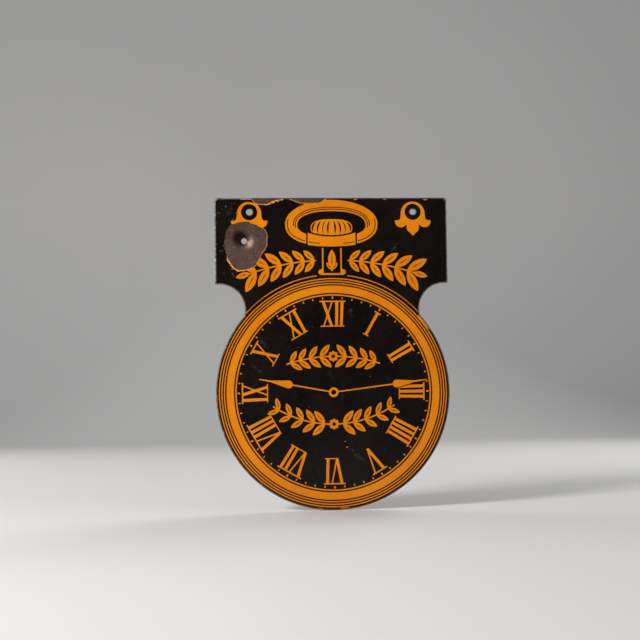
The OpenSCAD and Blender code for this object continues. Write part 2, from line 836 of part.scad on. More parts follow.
// Section of the dented sheet: thinner towards the hole, which it leaves torn open
module dent_2d() {
    steps = 12;
    span = dent_r - shot_d / 2;
    polygon(concat(
        [for (i = [0:steps]) let (u = i / steps) [shot_d / 2 + u * span, sink(u) - sheet_t / 2]],
        [for (i = [steps:-1:0]) let (u = i / steps)
            [shot_d / 2 + u * span, sink(u) + sheet_t / 2 - 0.45 * sheet_t * pow(1 - u, 3)]]));
}

// Ground coat: one skin over both faces, the edge and the hole walls
module ground_coat() {
    whole = sheet_t + 2 * ground_t;
    color(GROUND) difference() {
        slab(-whole / 2, whole) difference() {
            outline_2d(0);
            holes_2d(hole_r);
        }
        slab(-sheet_t / 2, sheet_t) difference() {
            outline_2d(ground_t);
            holes_2d(hole_r + ground_t);
        }
        for (side = ["front", "back"]) on_face(side) slab(ground_y, 2 * ground_t) intersection() {
            broken_2d(side, 0);
            outline_2d(ground_t);
        }
    }
}

// Orange coat of one side
module orange_coat(side) {
    color(ORANGE) on_face(side) slab(orange_y, orange_t) difference() {
        outline_2d(rim_w);
        holes_2d(hole_r + orange_clear);
        broken_2d(side, chip_step);
    }
}

module front_orange_coat() orange_coat("front");
module back_orange_coat() orange_coat("back");
module front_black_field() black("front") black_field_2d("front");
module back_black_field() black("back") black_field_2d("back");
module front_case_lines() black("front") case_lines_2d();
module back_case_lines() black("back") case_lines_2d();
module front_chapter_line() black("front") ring_2d(chapter_r + chapter_gap, chapter_gap);
module back_chapter_line() black("back") ring_2d(chapter_r + chapter_gap, chapter_gap);
module front_dial_field() black("front") dial_field_2d();
module back_dial_field() black("back") dial_field_2d();
module front_dial_counters() black("front") dial_counters_2d();
module back_dial_counters() black("back") dial_counters_2d();
module front_hub_dot() black("front") circle(hub_r - hub_w);
module back_hub_dot() black("back") circle(hub_r - hub_w);
module front_left_hole_disc() black("front") hole_disc_2d(-1);
module back_left_hole_disc() black("back") hole_disc_2d(-1);
module front_right_hole_disc() black("front") hole_disc_2d(1);
module back_right_hole_disc() black("back") hole_disc_2d(1);
module front_bow_lines() black("front") bow_lines_2d();
module back_bow_lines() black("back") bow_lines_2d();
module front_crown_flutes() black("front") crown_flutes_2d();
module back_crown_flutes() black("back") crown_flutes_2d();
module front_leaf_veins() black("front") leaf_veins_2d("front");
module back_leaf_veins() black("back") leaf_veins_2d("back");

steel_blank();
ground_coat();
front_orange_coat();
back_orange_coat();
front_black_field();
back_black_field();
front_case_lines();
back_case_lines();
front_chapter_line();
back_chapter_line();
front_dial_field();
back_dial_field();
front_dial_counters();
back_dial_counters();
front_hub_dot();
back_hub_dot();
front_left_hole_disc();
back_left_hole_disc();
front_right_hole_disc();
back_right_hole_disc();
front_bow_lines();
back_bow_lines();
front_crown_flutes();
back_crown_flutes();
front_leaf_veins();
back_leaf_veins();
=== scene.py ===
"""Dressed model of a double-sided enamelled trade sign in the shape of a pocket watch.

The front faces -Y and +Z is up. Drawings are in millimetres about the dial's centre, x to the
right as their own face is read and y up. They become metres in the sign's frame, whose origin
lies midway between the hanging holes, when a mesh is made of them.
"""

import logging
import math
from dataclasses import dataclass, field
from enum import Enum, IntEnum
from typing import Any, Callable, NamedTuple, Sequence

import bmesh
import bpy
import numpy as np
from mathutils import Matrix, Vector, noise
from mathutils.geometry import delaunay_2d_cdt


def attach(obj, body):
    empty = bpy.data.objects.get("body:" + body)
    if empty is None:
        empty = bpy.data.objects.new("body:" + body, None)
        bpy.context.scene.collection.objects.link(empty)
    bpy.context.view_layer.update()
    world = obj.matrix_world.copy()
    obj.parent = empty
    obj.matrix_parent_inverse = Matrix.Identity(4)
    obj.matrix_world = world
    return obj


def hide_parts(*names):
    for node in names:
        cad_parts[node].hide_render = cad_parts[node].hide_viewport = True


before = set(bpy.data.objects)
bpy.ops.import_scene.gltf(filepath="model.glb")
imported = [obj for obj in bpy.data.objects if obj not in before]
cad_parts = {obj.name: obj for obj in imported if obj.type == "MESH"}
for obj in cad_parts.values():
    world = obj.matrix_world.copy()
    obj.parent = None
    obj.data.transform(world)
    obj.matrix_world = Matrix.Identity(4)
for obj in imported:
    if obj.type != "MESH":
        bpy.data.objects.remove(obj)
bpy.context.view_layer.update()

Point = tuple[float, float]
Place = tuple[float, float, float]
Span = tuple[float, float]
Tone = tuple[float, float, float]
Loop = list[Point]
Knots = tuple[Point, ...]

MM = 0.001  # metres in the unit of the drawings
ROW_Z = 176.5  # height of the row of hanging holes
TOP_Z = 190.5  # height of the top edge
HOLE_X = 80.5  # how far each hanging hole lies from the middle
HOLE_R = 2.9  # radius of the hanging holes
BELL_Z = 174.7  # height of the middle of the bell flower round each hole
BELL_R = 12.0  # radius of the place that a bell flower takes up
RIM = 112.2  # half the width inside the bare rim, of the case and of the panel
SHOT = (-85.5, 148.5)  # place of the shot on the front
SHEET = 0.6  # level of the sheet's surface above its middle
LEVELS = (SHEET, 0.72, 0.87, 1.02)  # levels between which the coats lie
SOFT = 0.06  # radius of a coat's fired edge
SHARP = math.radians(28)  # least turn of a true corner
VEIN_FOOT = 0.27  # share of a vein that lies before its widest place
log = logging.getLogger("sign")


class Face(Enum):
    """Side of the sign; a face's drawing is made as that face is read."""

    FRONT = 1
    BACK = -1

    @property
    def word(self) -> str:
        """The face's name as the nodes begin with it."""
        return self.name.lower()

    @property
    def half_turn(self) -> float:
        """Angle about the upright that turns the front's drawing to this face, in radians."""
        return 0.0 if self is Face.FRONT else math.pi

    def place(self, point: Point, level: float) -> Place:
        """Drawn point at a level above the sheet's middle, in metres in the sign's frame."""
        return (self.value * point[0] * MM, -self.value * level * MM, (point[1] - ROW_Z) * MM)

    def drawn(self, spot: Vector) -> Point:
        """Place in the sign's frame as a point of this face's drawing."""
        return (self.value * spot.x / MM, spot.z / MM + ROW_Z)


class Coat(IntEnum):
    """Coat of glass, numbered in the order of firing."""

    GROUND = 0
    ORANGE = 1
    BLACK = 2

    @property
    def under(self) -> float:
        """Level of its underside above the sheet's middle."""
        return LEVELS[self]

    @property
    def top(self) -> float:
        """Level of its surface above the sheet's middle."""
        return LEVELS[self + 1]

    @property
    def slot(self) -> str:
        """The record's slot for its finish."""
        return f"{self.name.lower()}_enamel"


def ripple(x: float, y: float, size: float, seed: float) -> float:
    """Smooth noise between -1 and 1 with grains of a size, always the same for a seed."""
    return noise.noise(Vector((x / size, y / size, seed * 7.31)))


def turn_at(a: Point, b: Point, c: Point) -> float:
    """Angle by which the way from a through b to c turns left at b, in radians.

    Args:
        a: Where the way comes from.
        b: Where it turns.
        c: Where it goes.

    Returns:
        The angle, below zero for a turn to the right.
    """
    ux, uy = b[0] - a[0], b[1] - a[1]
    vx, vy = c[0] - b[0], c[1] - b[1]
    return math.atan2(ux * vy - uy * vx, ux * vx + uy * vy)


def ray(angle: float) -> Point:
    """Step of length 1 at an angle in degrees from the drawing's right."""
    return math.cos(math.radians(angle)), math.sin(math.radians(angle))


def area_of(loop: Loop) -> float:
    """Area inside a loop, positive when it runs counterclockwise."""
    return sum(a[0] * b[1] - b[0] * a[1] for a, b in zip(loop, loop[1:] + loop[:1])) / 2


def rounded(loop: Loop, reach: float) -> Loop:
    """Halves a loop's long edges, bulging those that are facets of an arc.

    Args:
        loop: The loop to refine.
        reach: Longest edge that may stay.

    Returns:
        The refined loop, through all the points of the first.
    """
    for _ in range(6):
        n = len(loop)
        spans = [math.dist(loop[i], loop[(i + 1) % n]) for i in range(n)]
        if max(spans) <= reach:
            break
        turns = [turn_at(loop[i - 1], loop[i], loop[(i + 1) % n]) for i in range(n)]
        finer: Loop = []
        for i in range(n):
            a, b = loop[i], loop[(i + 1) % n]
            finer.append(a)
            if spans[i] <= reach:
                continue
            t0, t1 = turns[i], turns[(i + 1) % n]
            near = (spans[i - 1], spans[(i + 1) % n])
            even = all(0.4 < s / spans[i] < 2.5 for s in near)
            arc = even and t0 * t1 > 0 and max(abs(t0), abs(t1)) < SHARP
            bulge = math.tan((t0 + t1) / 8) / 2 if arc else 0.0
            dx, dy = b[0] - a[0], b[1] - a[1]
            finer.append(((a[0] + b[0]) / 2 + bulge * dy, (a[1] + b[1]) / 2 - bulge * dx))
        loop = finer
    return loop


def softened(loop: Loop, cut: float) -> Loop:
    """Loop with its sharp corners rounded, as a stencil brush leaves them.

    Args:
        loop: The loop to round.
        cut: Most that a corner gives way on either side.

    Returns:
        The loop with three points in place of each sharp corner.
    """
    out: Loop = []
    for a, b, c in zip(loop[-1:] + loop[:-1], loop, loop[1:] + loop[:1]):
        if abs(turn_at(a, b, c)) < SHARP:
            out.append(b)
            continue
        before, after = math.dist(a, b), math.dist(b, c)
        s, t = min(cut, 0.45 * before) / before, min(cut, 0.45 * after) / after
        p = (b[0] + (a[0] - b[0]) * s, b[1] + (a[1] - b[1]) * s)
        q = (b[0] + (c[0] - b[0]) * t, b[1] + (c[1] - b[1]) * t)
        out += [p, ((p[0] + q[0] + 2 * b[0]) / 4, (p[1] + q[1] + 2 * b[1]) / 4), q]
    return out


def swollen(loop: Loop, middle: Point, rule: Callable[[float, float], float]) -> Loop:
    """Loop whose points lie so many times as far from a middle as a rule says for each."""
    x, y = middle
    return [(x + (p - x) * rule(p, q), y + (q - y) * rule(p, q)) for p, q in loop]


def unsteady(loop: Loop, amount: float, size: float, seed: float) -> Loop:
    """Loop whose points stray a little, as a line cut by hand in a stencil does."""
    return [(x + amount * ripple(x, y, size, seed), y + amount * ripple(y, x, size, seed + 5))
            for x, y in loop]


def inset(loop: Loop, depth: float | Sequence[float]) -> Loop:
    """Loop moved towards its inner side, which lies on the left of its way.

    Args:
        loop: The loop to move.
        depth: How far, one value or one for each point.

    Returns:
        As many points as the loop has.
    """
    n = len(loop)
    out: Loop = []
    for i in range(n):
        (ax, ay), (bx, by), (cx, cy) = loop[i - 1], loop[i], loop[(i + 1) % n]
        first = math.hypot(bx - ax, by - ay) or 1.0
        second = math.hypot(cx - bx, cy - by) or 1.0
        ux, uy = (bx - ax) / first, (by - ay) / first
        vx, vy = (cx - bx) / second, (cy - by) / second
        d = depth if isinstance(depth, (int, float)) else depth[i]
        k = d / max(1 + ux * vx + uy * vy, 0.6)
        out.append((bx - (uy + vy) * k, by + (ux + vx) * k))
    return out


def ring_loop(x: float, y: float, r: float, count: int, hole: bool = False) -> Loop:
    """Circle about a point, counterclockwise, or the other way round for a hole."""
    way = -1 if hole else 1
    return [(x + r * math.cos(way * math.tau * i / count), y + r * math.sin(way * math.tau * i / count))
            for i in range(count)]


def mirrored(loop: Loop) -> Loop:
    """Loop of one face as the other face's drawing has it, with its inner side kept."""
    return [(-x, y) for x, y in reversed(loop)]


def within(points: np.ndarray, loops: Sequence[Loop]) -> np.ndarray:
    """Which of many points lie inside a set of loops, by the even-odd rule.

    Args:
        points: Array of places, one to a row.
        loops: Loops whose insides count.

    Returns:
        One truth value for each point.
    """
    batch = 400
    starts = np.array([p for loop in loops for p in loop])
    ends = np.array([p for loop in loops for p in loop[1:] + loop[:1]])
    rise = ends[:, 1] - starts[:, 1]
    rise[rise == 0] = 1e-12
    found = np.zeros(len(points), bool)
    for k in range(0, len(points), batch):
        x, y = points[k:k + batch, :1], points[k:k + batch, 1:2]
        over = (starts[:, 1] > y) != (ends[:, 1] > y)
        cross = starts[:, 0] + (y - starts[:, 1]) * (ends[:, 0] - starts[:, 0]) / rise
        found[k:k + batch] = (over & (x < cross)).sum(axis=1) % 2 == 1
    return found


def taken(points: np.ndarray, losses: Sequence[Loop]) -> np.ndarray:
    """Which of many points lie inside any of the loops of what is lost."""
    return sum((within(points, [loop]) for loop in losses), np.zeros(len(points), bool))


def arranged(loops: Sequence[Loop]) -> tuple[list[Vector], list[list[int]], list[list[int]]]:
    """Triangulation in which every edge of the loops appears.

    Args:
        loops: Loops that may touch or cross.

    Returns:
        Points, triangles, and for each point the numbers of the loop points that it stands for.
    """
    points: list[Vector] = []
    edges: list[tuple[int, int]] = []
    for loop in loops:
        first = len(points)
        points += [Vector(p) for p in loop]
        edges += [(first + i, first + (i + 1) % len(loop)) for i in range(len(loop))]
    verts, _, tris, origin, _, _ = delaunay_2d_cdt(points, edges, [], 0, 1e-6)
    return verts, tris, origin


def carved(loops: Sequence[Loop], cuts: Sequence[Loop],
           kept: Callable[[np.ndarray], np.ndarray]) -> list[Loop]:
    """Outline of the part of a drawing that a rule keeps.

    Args:
        loops: Loops of the drawing.
        cuts: Further loops along which it may be parted.
        kept: Rule that says of many places at once whether they stay.

    Returns:
        Loops with the kept part on their left.
    """
    tight, crumb = 0.03, 0.25
    verts, tris, _ = arranged([*loops, *cuts])
    places = np.array([(v.x, v.y) for v in verts])
    rule = kept(places[np.array(tris)].mean(axis=1))
    half_edges = set()
    for tri, stays in zip(tris, rule):
        if stays:
            half_edges.update(zip(tri, tri[1:] + tri[:1]))
    onward: dict[int, list[int]] = {}
    for a, b in sorted(half_edges):
        if (b, a) not in half_edges:
            onward.setdefault(a, []).append(b)
    pinched = {a for a, ways in onward.items() if len(ways) > 1}
    found: list[Loop] = []
    while onward:
        start = next(iter(onward))
        chain = [start]
        while True:
            ways = onward[chain[-1]]
            follow = ways.pop()
            if not ways:
                del onward[chain[-1]]
            if follow == start:
                break
            chain.append(follow)
        loop = [(places[i][0], places[i][1]) for i in chain]
        pulled = inset(loop, tight)
        loop = [pulled[k] if i in pinched else loop[k] for k, i in enumerate(chain)]
        found.append(thinned(loop, tight))
    return [loop for loop in found if len(loop) > 3 and abs(area_of(loop)) > crumb]


def thinned(loop: Loop, least: float) -> Loop:
    """Loop without points that crowd closer than a distance.

    Args:
        loop: The loop.
        least: That distance.

    Returns:
        The points that stay.
    """
    out = [loop[0]]
    for p in loop[1:]:
        if math.dist(p, out[-1]) >= least:
            out.append(p)
    while len(out) > 3 and math.dist(out[0], out[-1]) < least:
        out.pop()
    return out


def filled(loops: Sequence[Loop]) -> list[tuple[int, int, int]]:
    """Triangles that fill the insides of loops.

    Args:
        loops: Loops that don't cross, each with its inside on the left.

    Returns:
        Triangles by the running numbers of the loops' points.
    """
    verts, tris, origin = arranged(loops)
    total = sum(len(loop) for loop in loops)
    if len(verts) != total or any(len(o) != 1 for o in origin):
        raise ValueError(f"loops touch: {total} points gave {len(verts)}")
    number = [o[0] for o in origin]
    rim = set()
    first = 0
    for loop in loops:
        rim.update((first + i, first + (i + 1) % len(loop)) for i in range(len(loop)))
        first += len(loop)
    corners = [tuple(number[i] for i in tri) for tri in tris]
    owner = {}
    for k, (a, b, c) in enumerate(corners):
        owner.update({(a, b): k, (b, c): k, (c, a): k})
    waiting = [owner[e] for e in rim if e in owner]
    inside = set(waiting)
    while waiting:
        a, b, c = corners[waiting.pop()]
        for p, q in ((a, b), (b, c), (c, a)):
            if (p, q) in rim or (q, p) in rim:
                continue
            k = owner.get((q, p))
            if k is not None and k not in inside:
                inside.add(k)
                waiting.append(k)
    return [corners[k] for k in sorted(inside)]


def node_loops(name: str, face: Face, level: float) -> list[Loop]:
    """Outlines of a CAD node's outermost surface on one face.

    Args:
        name: The node.
        face: Face whose side of the node is read.
        level: Height of that surface above the sheet's middle.

    Returns:
        Loops in that face's drawing, each with the surface on its left.
    """
    bm = bmesh.new()
    bm.from_mesh(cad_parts[name].data)
    bmesh.ops.remove_doubles(bm, verts=bm.verts, dist=1e-6)
    top = {f for f in bm.faces
           if all(abs(-face.value * v.co.y / MM - level) < 0.01 for v in f.verts)}
    onward = {}
    for f in top:
        for corner in f.loops:
            if sum(g in top for g in corner.edge.link_faces) == 1:
                onward[corner.vert] = corner.link_loop_next.vert
    found: list[Loop] = []
    for start in sorted(onward, key=lambda v: v.index):
        if start not in onward:
            continue
        chain = [start]
        while (follow := onward.pop(chain[-1])) is not start:
            chain.append(follow)
        found.append([face.drawn(v.co) for v in chain])
    bm.free()
    return found


@dataclass
class Solid:
    """Mesh in the making, in metres in the sign's frame, to which parts are added."""

    verts: list[Place] = field(default_factory=list)
    faces: list[tuple[int, ...]] = field(default_factory=list)
    smooth: list[bool] = field(default_factory=list)

    def points(self, loops: Sequence[Loop], level: float, face: Face) -> int:
        """Adds the points of loops at a level and returns the first one's number.

        Args:
            loops: The loops.
            level: Their level above the sheet's middle.
            face: The face in whose drawing they are.

        Returns:
            The first point's number.
        """
        first = len(self.verts)
        self.verts += [face.place(p, level) for loop in loops for p in loop]
        return first

    def walls(self, loops: Sequence[Loop], low: int, high: int) -> None:
        """Joins two rows of loop points, the second nearer to the viewer, by quads.

        Args:
            loops: Loops that say how many points each row has.
            low: Number of the first row's first point.
            high: Number of the second row's first point.
        """
        first = 0
        for loop in loops:
            n = len(loop)
            for i in range(n):
                a, b = first + i, first + (i + 1) % n
                self.faces.append((low + a, low + b, high + b, high + a))
                self.smooth.append(True)
            first += n

    def cap(self, tris: Sequence[tuple[int, ...]], first: int, turned: bool = False) -> None:
        """Adds a flat cap over the points from a number on, turned for an underside.

        Args:
            tris: Triangles by the numbers of a row's points.
            first: Number of the row's first point.
            turned: Whether the cap faces the other way.
        """
        for tri in tris:
            corners = tuple(first + i for i in tri)
            self.faces.append(corners[::-1] if turned else corners)
            self.smooth.append(False)

    def mesh(self, name: str) -> bpy.types.Mesh:
        """The finished mesh.

        Args:
            name: Its name.

        Returns:
            A valid mesh.
        """
        made = bpy.data.meshes.new(name)
        made.from_pydata(self.verts, [], self.faces)
        made.polygons.foreach_set("use_smooth", self.smooth)
        made.validate()
        made.update()
        return made


def linked(name: str, data: bpy.types.ID) -> bpy.types.Object:
    """New object of the scene that holds a mesh, a lamp or a camera.

    Args:
        name: Its name.
        data: What it holds.

    Returns:
        The object.
    """
    made = bpy.data.objects.new(name, data)
    bpy.context.scene.collection.objects.link(made)
    return made


def noted(mesh: bpy.types.Mesh, name: str, values: Sequence[float]) -> None:
    """Keeps one number for each point of a mesh under a name."""
    mesh.attributes.new(name, "FLOAT", "POINT").data.foreach_set("value", values)


def settled(name: str, mesh: bpy.types.Mesh, finish: bpy.types.Material,
            node: str) -> None:
    """Turns a mesh into a piece that stands for a CAD node and rides on the sign's body.

    Args:
        name: The piece's name.
        mesh: Its mesh, in the sign's frame.
        finish: Its finish.
        node: The CAD node that it stands for.
    """
    piece = linked(name, mesh)
    mesh.materials.clear()
    mesh.materials.append(finish)
    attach(piece, "root")
    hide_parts(node)
    count = sum(len(p.vertices) - 2 for p in mesh.polygons)
    log.info("%s: %d triangles, finish %s", name, count, finish.name)


def coat_mesh(name: str, loops: list[Loop], face: Face, coat: Coat) -> bpy.types.Mesh:
    """Solid skin of fired glass with a rounded rim.

    Args:
        name: The mesh's name.
        loops: Its outline in the face's drawing.
        face: The face that it lies on.
        coat: The coat that it is a part of.

    Returns:
        A closed mesh.
    """
    solid = Solid()
    knee = 0.3 * SOFT
    rows = ((0.0, coat.under), (0.0, coat.top - SOFT), (knee, coat.top - knee), (SOFT, coat.top))
    tris = filled(loops)
    firsts = [solid.points([inset(loop, d) for loop in loops], level, face) for d, level in rows]
    solid.cap(tris, firsts[0], turned=True)
    for low, high in zip(firsts, firsts[1:]):
        solid.walls(loops, low, high)
    solid.cap(tris, firsts[-1])
    return solid.mesh(name)


def glazed(node: str, loops: list[Loop], face: Face, coat: Coat, finish: bpy.types.Material) -> None:
    """Makes the glass that stands for a CAD node of a coat and sets it in the sign."""
    mesh = coat_mesh(f"{node}_glaze", loops, face, coat)
    settled(f"{node}_glaze", mesh, finish, node)


class Sock:
    """Socket of a node tree whose operators add the nodes that work them out."""

    def __init__(self, graph: "Graph", socket: bpy.types.NodeSocket) -> None:
        """Wraps a socket of a graph."""
        self.graph = graph
        self.socket = socket

    @property
    def flat(self) -> bool:
        """Whether the socket carries one number and not a vector."""
        return self.socket.type in {"VALUE", "INT", "BOOLEAN"}

    def _pair(self, operation: str, other: Any, turned: bool = False) -> "Sock":
        """Adds a node for an operation on this socket and another value.

        Args:
            operation: The operation.
            other: The other value.
            turned: Whether the other value comes first.

        Returns:
            What the node gives.
        """
        wide = not self.flat or (isinstance(other, Sock) and not other.flat)
        kind = "ShaderNodeVectorMath" if wide else "ShaderNodeMath"
        a, b = (other, self) if turned else (self, other)
        if wide:
            a, b = (v if isinstance(v, (Sock, tuple)) else (v, v, v) for v in (a, b))
        return self.graph.add(kind, {"operation": operation}, {0: a, 1: b})

    def __add__(self, other: Any) -> "Sock":
        """Sum."""
        return self._pair("ADD", other)

    def __radd__(self, other: Any) -> "Sock":
        """Sum, with this value on the right."""
        return self._pair("ADD", other, True)

    def __sub__(self, other: Any) -> "Sock":
        """Difference."""
        return self._pair("SUBTRACT", other)

    def __rsub__(self, other: Any) -> "Sock":
        """Difference, with this value on the right."""
        return self._pair("SUBTRACT", other, True)

    def __mul__(self, other: Any) -> "Sock":
        """Product."""
        return self._pair("MULTIPLY", other)

    def __rmul__(self, other: Any) -> "Sock":
        """Product, with this value on the right."""
        return self._pair("MULTIPLY", other, True)

    def __truediv__(self, other: Any) -> "Sock":
        """Quotient."""
        return self._pair("DIVIDE", other)

    def __neg__(self) -> "Sock":
        """Value with its sign turned."""
        return self._pair("MULTIPLY", -1.0)

    def __abs__(self) -> "Sock":
        """Size without sign."""
        return self.graph.add("ShaderNodeMath", {"operation": "ABSOLUTE"}, {0: self})

    def least(self, other: Any) -> "Sock":
        """Smaller of two values."""
        return self._pair("MINIMUM", other)

    def most(self, other: Any) -> "Sock":
        """Larger of two values."""
        return self._pair("MAXIMUM", other)

    def rise(self, low: float, high: float) -> "Sock":
        """Value that goes smoothly from 0 at low to 1 at high."""
        return self.graph.add("ShaderNodeMapRange", {"interpolation_type": "SMOOTHSTEP"},
                              {0: self, 1: low, 2: high, 3: 0.0, 4: 1.0})

    def fall(self, low: float, high: float) -> "Sock":
        """Value that goes smoothly from 1 at low to 0 at high."""
        return 1.0 - self.rise(low, high)

    def length(self) -> "Sock":
        """Length of a vector."""
        return self.graph.add("ShaderNodeVectorMath", {"operation": "LENGTH"}, {0: self}, "Value")

    def blend(self, first: Any, second: Any, way: str = "MIX") -> "Sock":
        """Colour between two colours, with this value as the share of the second."""
        return self.graph.add("ShaderNodeMix", {"data_type": "RGBA", "blend_type": way},
                              {0: self, 6: first, 7: second}, 2)

    def part(self, axis: str) -> "Sock":
        """One component of a vector."""
        return self.graph.add("ShaderNodeSeparateXYZ", {}, {0: self}, axis)

    def beside(self, name: str) -> "Sock":
        """Another output of the same node."""
        return Sock(self.graph, self.socket.node.outputs[name])


class Graph:
    """Node tree, of a material or of geometry, to which nodes are added by one method."""

    def __init__(self, tree: bpy.types.NodeTree) -> None:
        """Starts on a tree."""
        self.tree = tree

    def add(self, kind: str, settings: dict[str, Any], inputs: dict[int | str, Any],
            out: int | str = 0) -> Sock:
        """Adds a node.

        Args:
            kind: The node's type.
            settings: Its own settings, which are set first.
            inputs: Values, sockets or lists of sockets for its inputs, by number or name.
            out: Which output is wanted.

        Returns:
            That output, or the first input of a node that has none.
        """
        node = self.tree.nodes.new(kind)
        for key, value in settings.items():
            setattr(node, key, value)
        for key, value in inputs.items():
            if isinstance(value, (Sock, list)):
                for source in value if isinstance(value, list) else [value]:
                    self.tree.links.new(source.socket, node.inputs[key])
            elif node.inputs[key].type == "RGBA" and len(value) == 3:
                node.inputs[key].default_value = (*value, 1.0)
            else:
                node.inputs[key].default_value = value
        return Sock(self, node.outputs[out] if node.outputs else node.inputs[0])

    def grain(self, where: Sock, scale: float, detail: float = 3.0, rough: float = 0.55) -> Sock:
        """Noise between about 0.25 and 0.75 with so many grains to the metre."""
        return self.add("ShaderNodeTexNoise", {},
                        {"Vector": where, "Scale": scale, "Detail": detail, "Roughness": rough})

    def stretched(self, where: Sock, middle: Place, lean: float, size: Place) -> Sock:
        """Place on a pattern that is moved, leaned in the sheet's plane and stretched."""
        return self.add("ShaderNodeMapping", {"vector_type": "TEXTURE"}, {
            0: where, "Location": middle, "Rotation": (0.0, lean, 0.0), "Scale": size})

    def away(self, where: Sock, x: float, y: float) -> Sock:
        """Distance across the sheet from a place of the front's drawing, in millimetres."""
        return ((where - (x * MM, 0.0, (y - ROW_Z) * MM)) * (1 / MM, 0.0, 1 / MM)).length()

    def layers(self, colour: Sock, *layers: tuple[Sock, float, Tone]) -> Sock:
        """Colour under layers, each with its mask, how much of it covers, and its tone.

        Args:
            colour: The colour below.
            layers: The layers, the lowest one first.

        Returns:
            The colour above.
        """
        for mask, share, tone in layers:
            colour = (mask * share).blend(colour, tone)
        return colour

    def bump(self, height: Sock, strength: float, distance: float) -> Sock:
        """Normal of a surface that a height roughens."""
        return self.add("ShaderNodeBump", {},
                        {"Height": height, "Strength": strength, "Distance": distance})


@dataclass(frozen=True)
class Finish:
    """Finish whose material is drawn on an object's own coordinates."""

    name: str
    rough: float
    shine: float

    def paint(self, g: Graph, where: Sock) -> dict[str, Any]:
        """Sockets of the shader and what feeds them; each finish has its own."""
        raise NotImplementedError

    def material(self) -> bpy.types.Material:
        """The finish as a material.

        Returns:
            A material of the finish's name.
        """
        made = bpy.data.materials.new(self.name)
        made.use_nodes = True
        made.node_tree.nodes.clear()
        g = Graph(made.node_tree)
        where = g.add("ShaderNodeTexCoord", {}, {}, "Object")
        sockets = {"Specular IOR Level": self.shine, **self.paint(g, where)}
        shader = g.add("ShaderNodeBsdfPrincipled", {}, sockets)
        g.add("ShaderNodeOutputMaterial", {}, {0: shader})
        return made


@dataclass(frozen=True)
class BlackEnamel(Finish):
    """Glossy black glass with dust, fine scratches and a brown tone where it is thin.

    A smear has its place and half its length and width in millimetres, and its lean in degrees.
    """

    name: str = "black_enamel_worn"
    rough: float = 0.17
    shine: float = 0.19
    deep: Tone = (0.0026, 0.0014, 0.0010)
    thin: Tone = (0.0074, 0.0038, 0.0024)
    scratch_lean: float = 0.7
    scratch_size: Place = (0.03, 0.03, 0.0007)
    dusty_x: Span = (-0.099, -0.086)
    smears: tuple[tuple[float, ...], ...] = (
        (18.0, 78.0, 6.0, 3.6, 100.0), (-69.0, 50.0, 9.0, 2.6, -52.0), (-75.0, 24.0, 10.0, 2.2, -38.0),
        (-61.0, 72.0, 6.5, 3.0, -60.0), (-28.0, 63.0, 5.0, 2.5, 10.0), (22.0, -62.0, 15.0, 4.0, -42.0),
        (-100.0, 176.0, 6.0, 4.0, 20.0), (62.0, 140.0, 8.0, 3.0, 60.0))

    def smeared(self, g: Graph, where: Sock) -> Sock:
        """Share of a grey smear at each place of the front, the largest of all smears.

        Args:
            g: The material's graph.
            where: Place on the object.

        Returns:
            The share, from 0 to 1.
        """
        front = where.part("Y").fall(-0.0004, 0.0004)
        total = front * 0.0
        for x, y, along, across, lean in self.smears:
            spot = g.stretched(where, (x * MM, 0.0, (y - ROW_Z) * MM), -math.radians(lean),
                               (along * MM, 1.0, across * MM))
            total = total.most(spot.length().fall(0.15, 1.0))
        return total * front

    def paint(self, g: Graph, where: Sock) -> dict[str, Any]:
        """Black that browns in clouds, with dust, smears, scuffs, scratches and pin marks.

        Args:
            g: The material's graph.
            where: Place on the object.

        Returns:
            The shader's inputs by name, each with what feeds it.
        """
        clouds = g.grain(where, 22.0).rise(0.35, 0.68)
        film = g.grain(where, 260.0, 5.0, 0.7)
        smear = self.smeared(g, where) * film.rise(0.38, 0.72)
        scuffs = g.grain(where * (1.0, 1.0, 0.35), 75.0, 6.0, 0.75).rise(0.6, 0.74)
        slant = g.stretched(where, (0.0, 0.0, 0.0), self.scratch_lean, self.scratch_size)
        lines = g.grain(slant, 1.0, 2.0).rise(0.69, 0.74) * g.grain(where, 30.0).rise(0.5, 0.62)
        pins = g.grain(where, 640.0, 1.0).rise(0.765, 0.82)
        dust = g.grain(where, 420.0, 1.0).rise(0.69, 0.76) * where.part("X").fall(*self.dusty_x)
        colour = g.layers(clouds.blend(self.deep, self.thin),
                          (film.rise(0.45, 0.8), 0.4, (0.014, 0.009, 0.007)),
                          (smear, 0.75, (0.046, 0.034, 0.031)),
                          (scuffs, 0.2, (0.04, 0.032, 0.029)),
                          (lines, 0.3, (0.08, 0.07, 0.065)),
                          (pins, 0.5, (0.12, 0.10, 0.085)),
                          (dust, 0.7, (0.12, 0.125, 0.13)))
        rough = self.rough + film * 0.12 + scuffs * 0.25 + lines * 0.2 + smear * 0.3
        skin = g.grain(where, 420.0, 2.0) + lines * 0.6 + pins * 0.5
        return {"Base Color": colour, "Roughness": rough, "Normal": g.bump(skin, 0.12, 0.0002)}


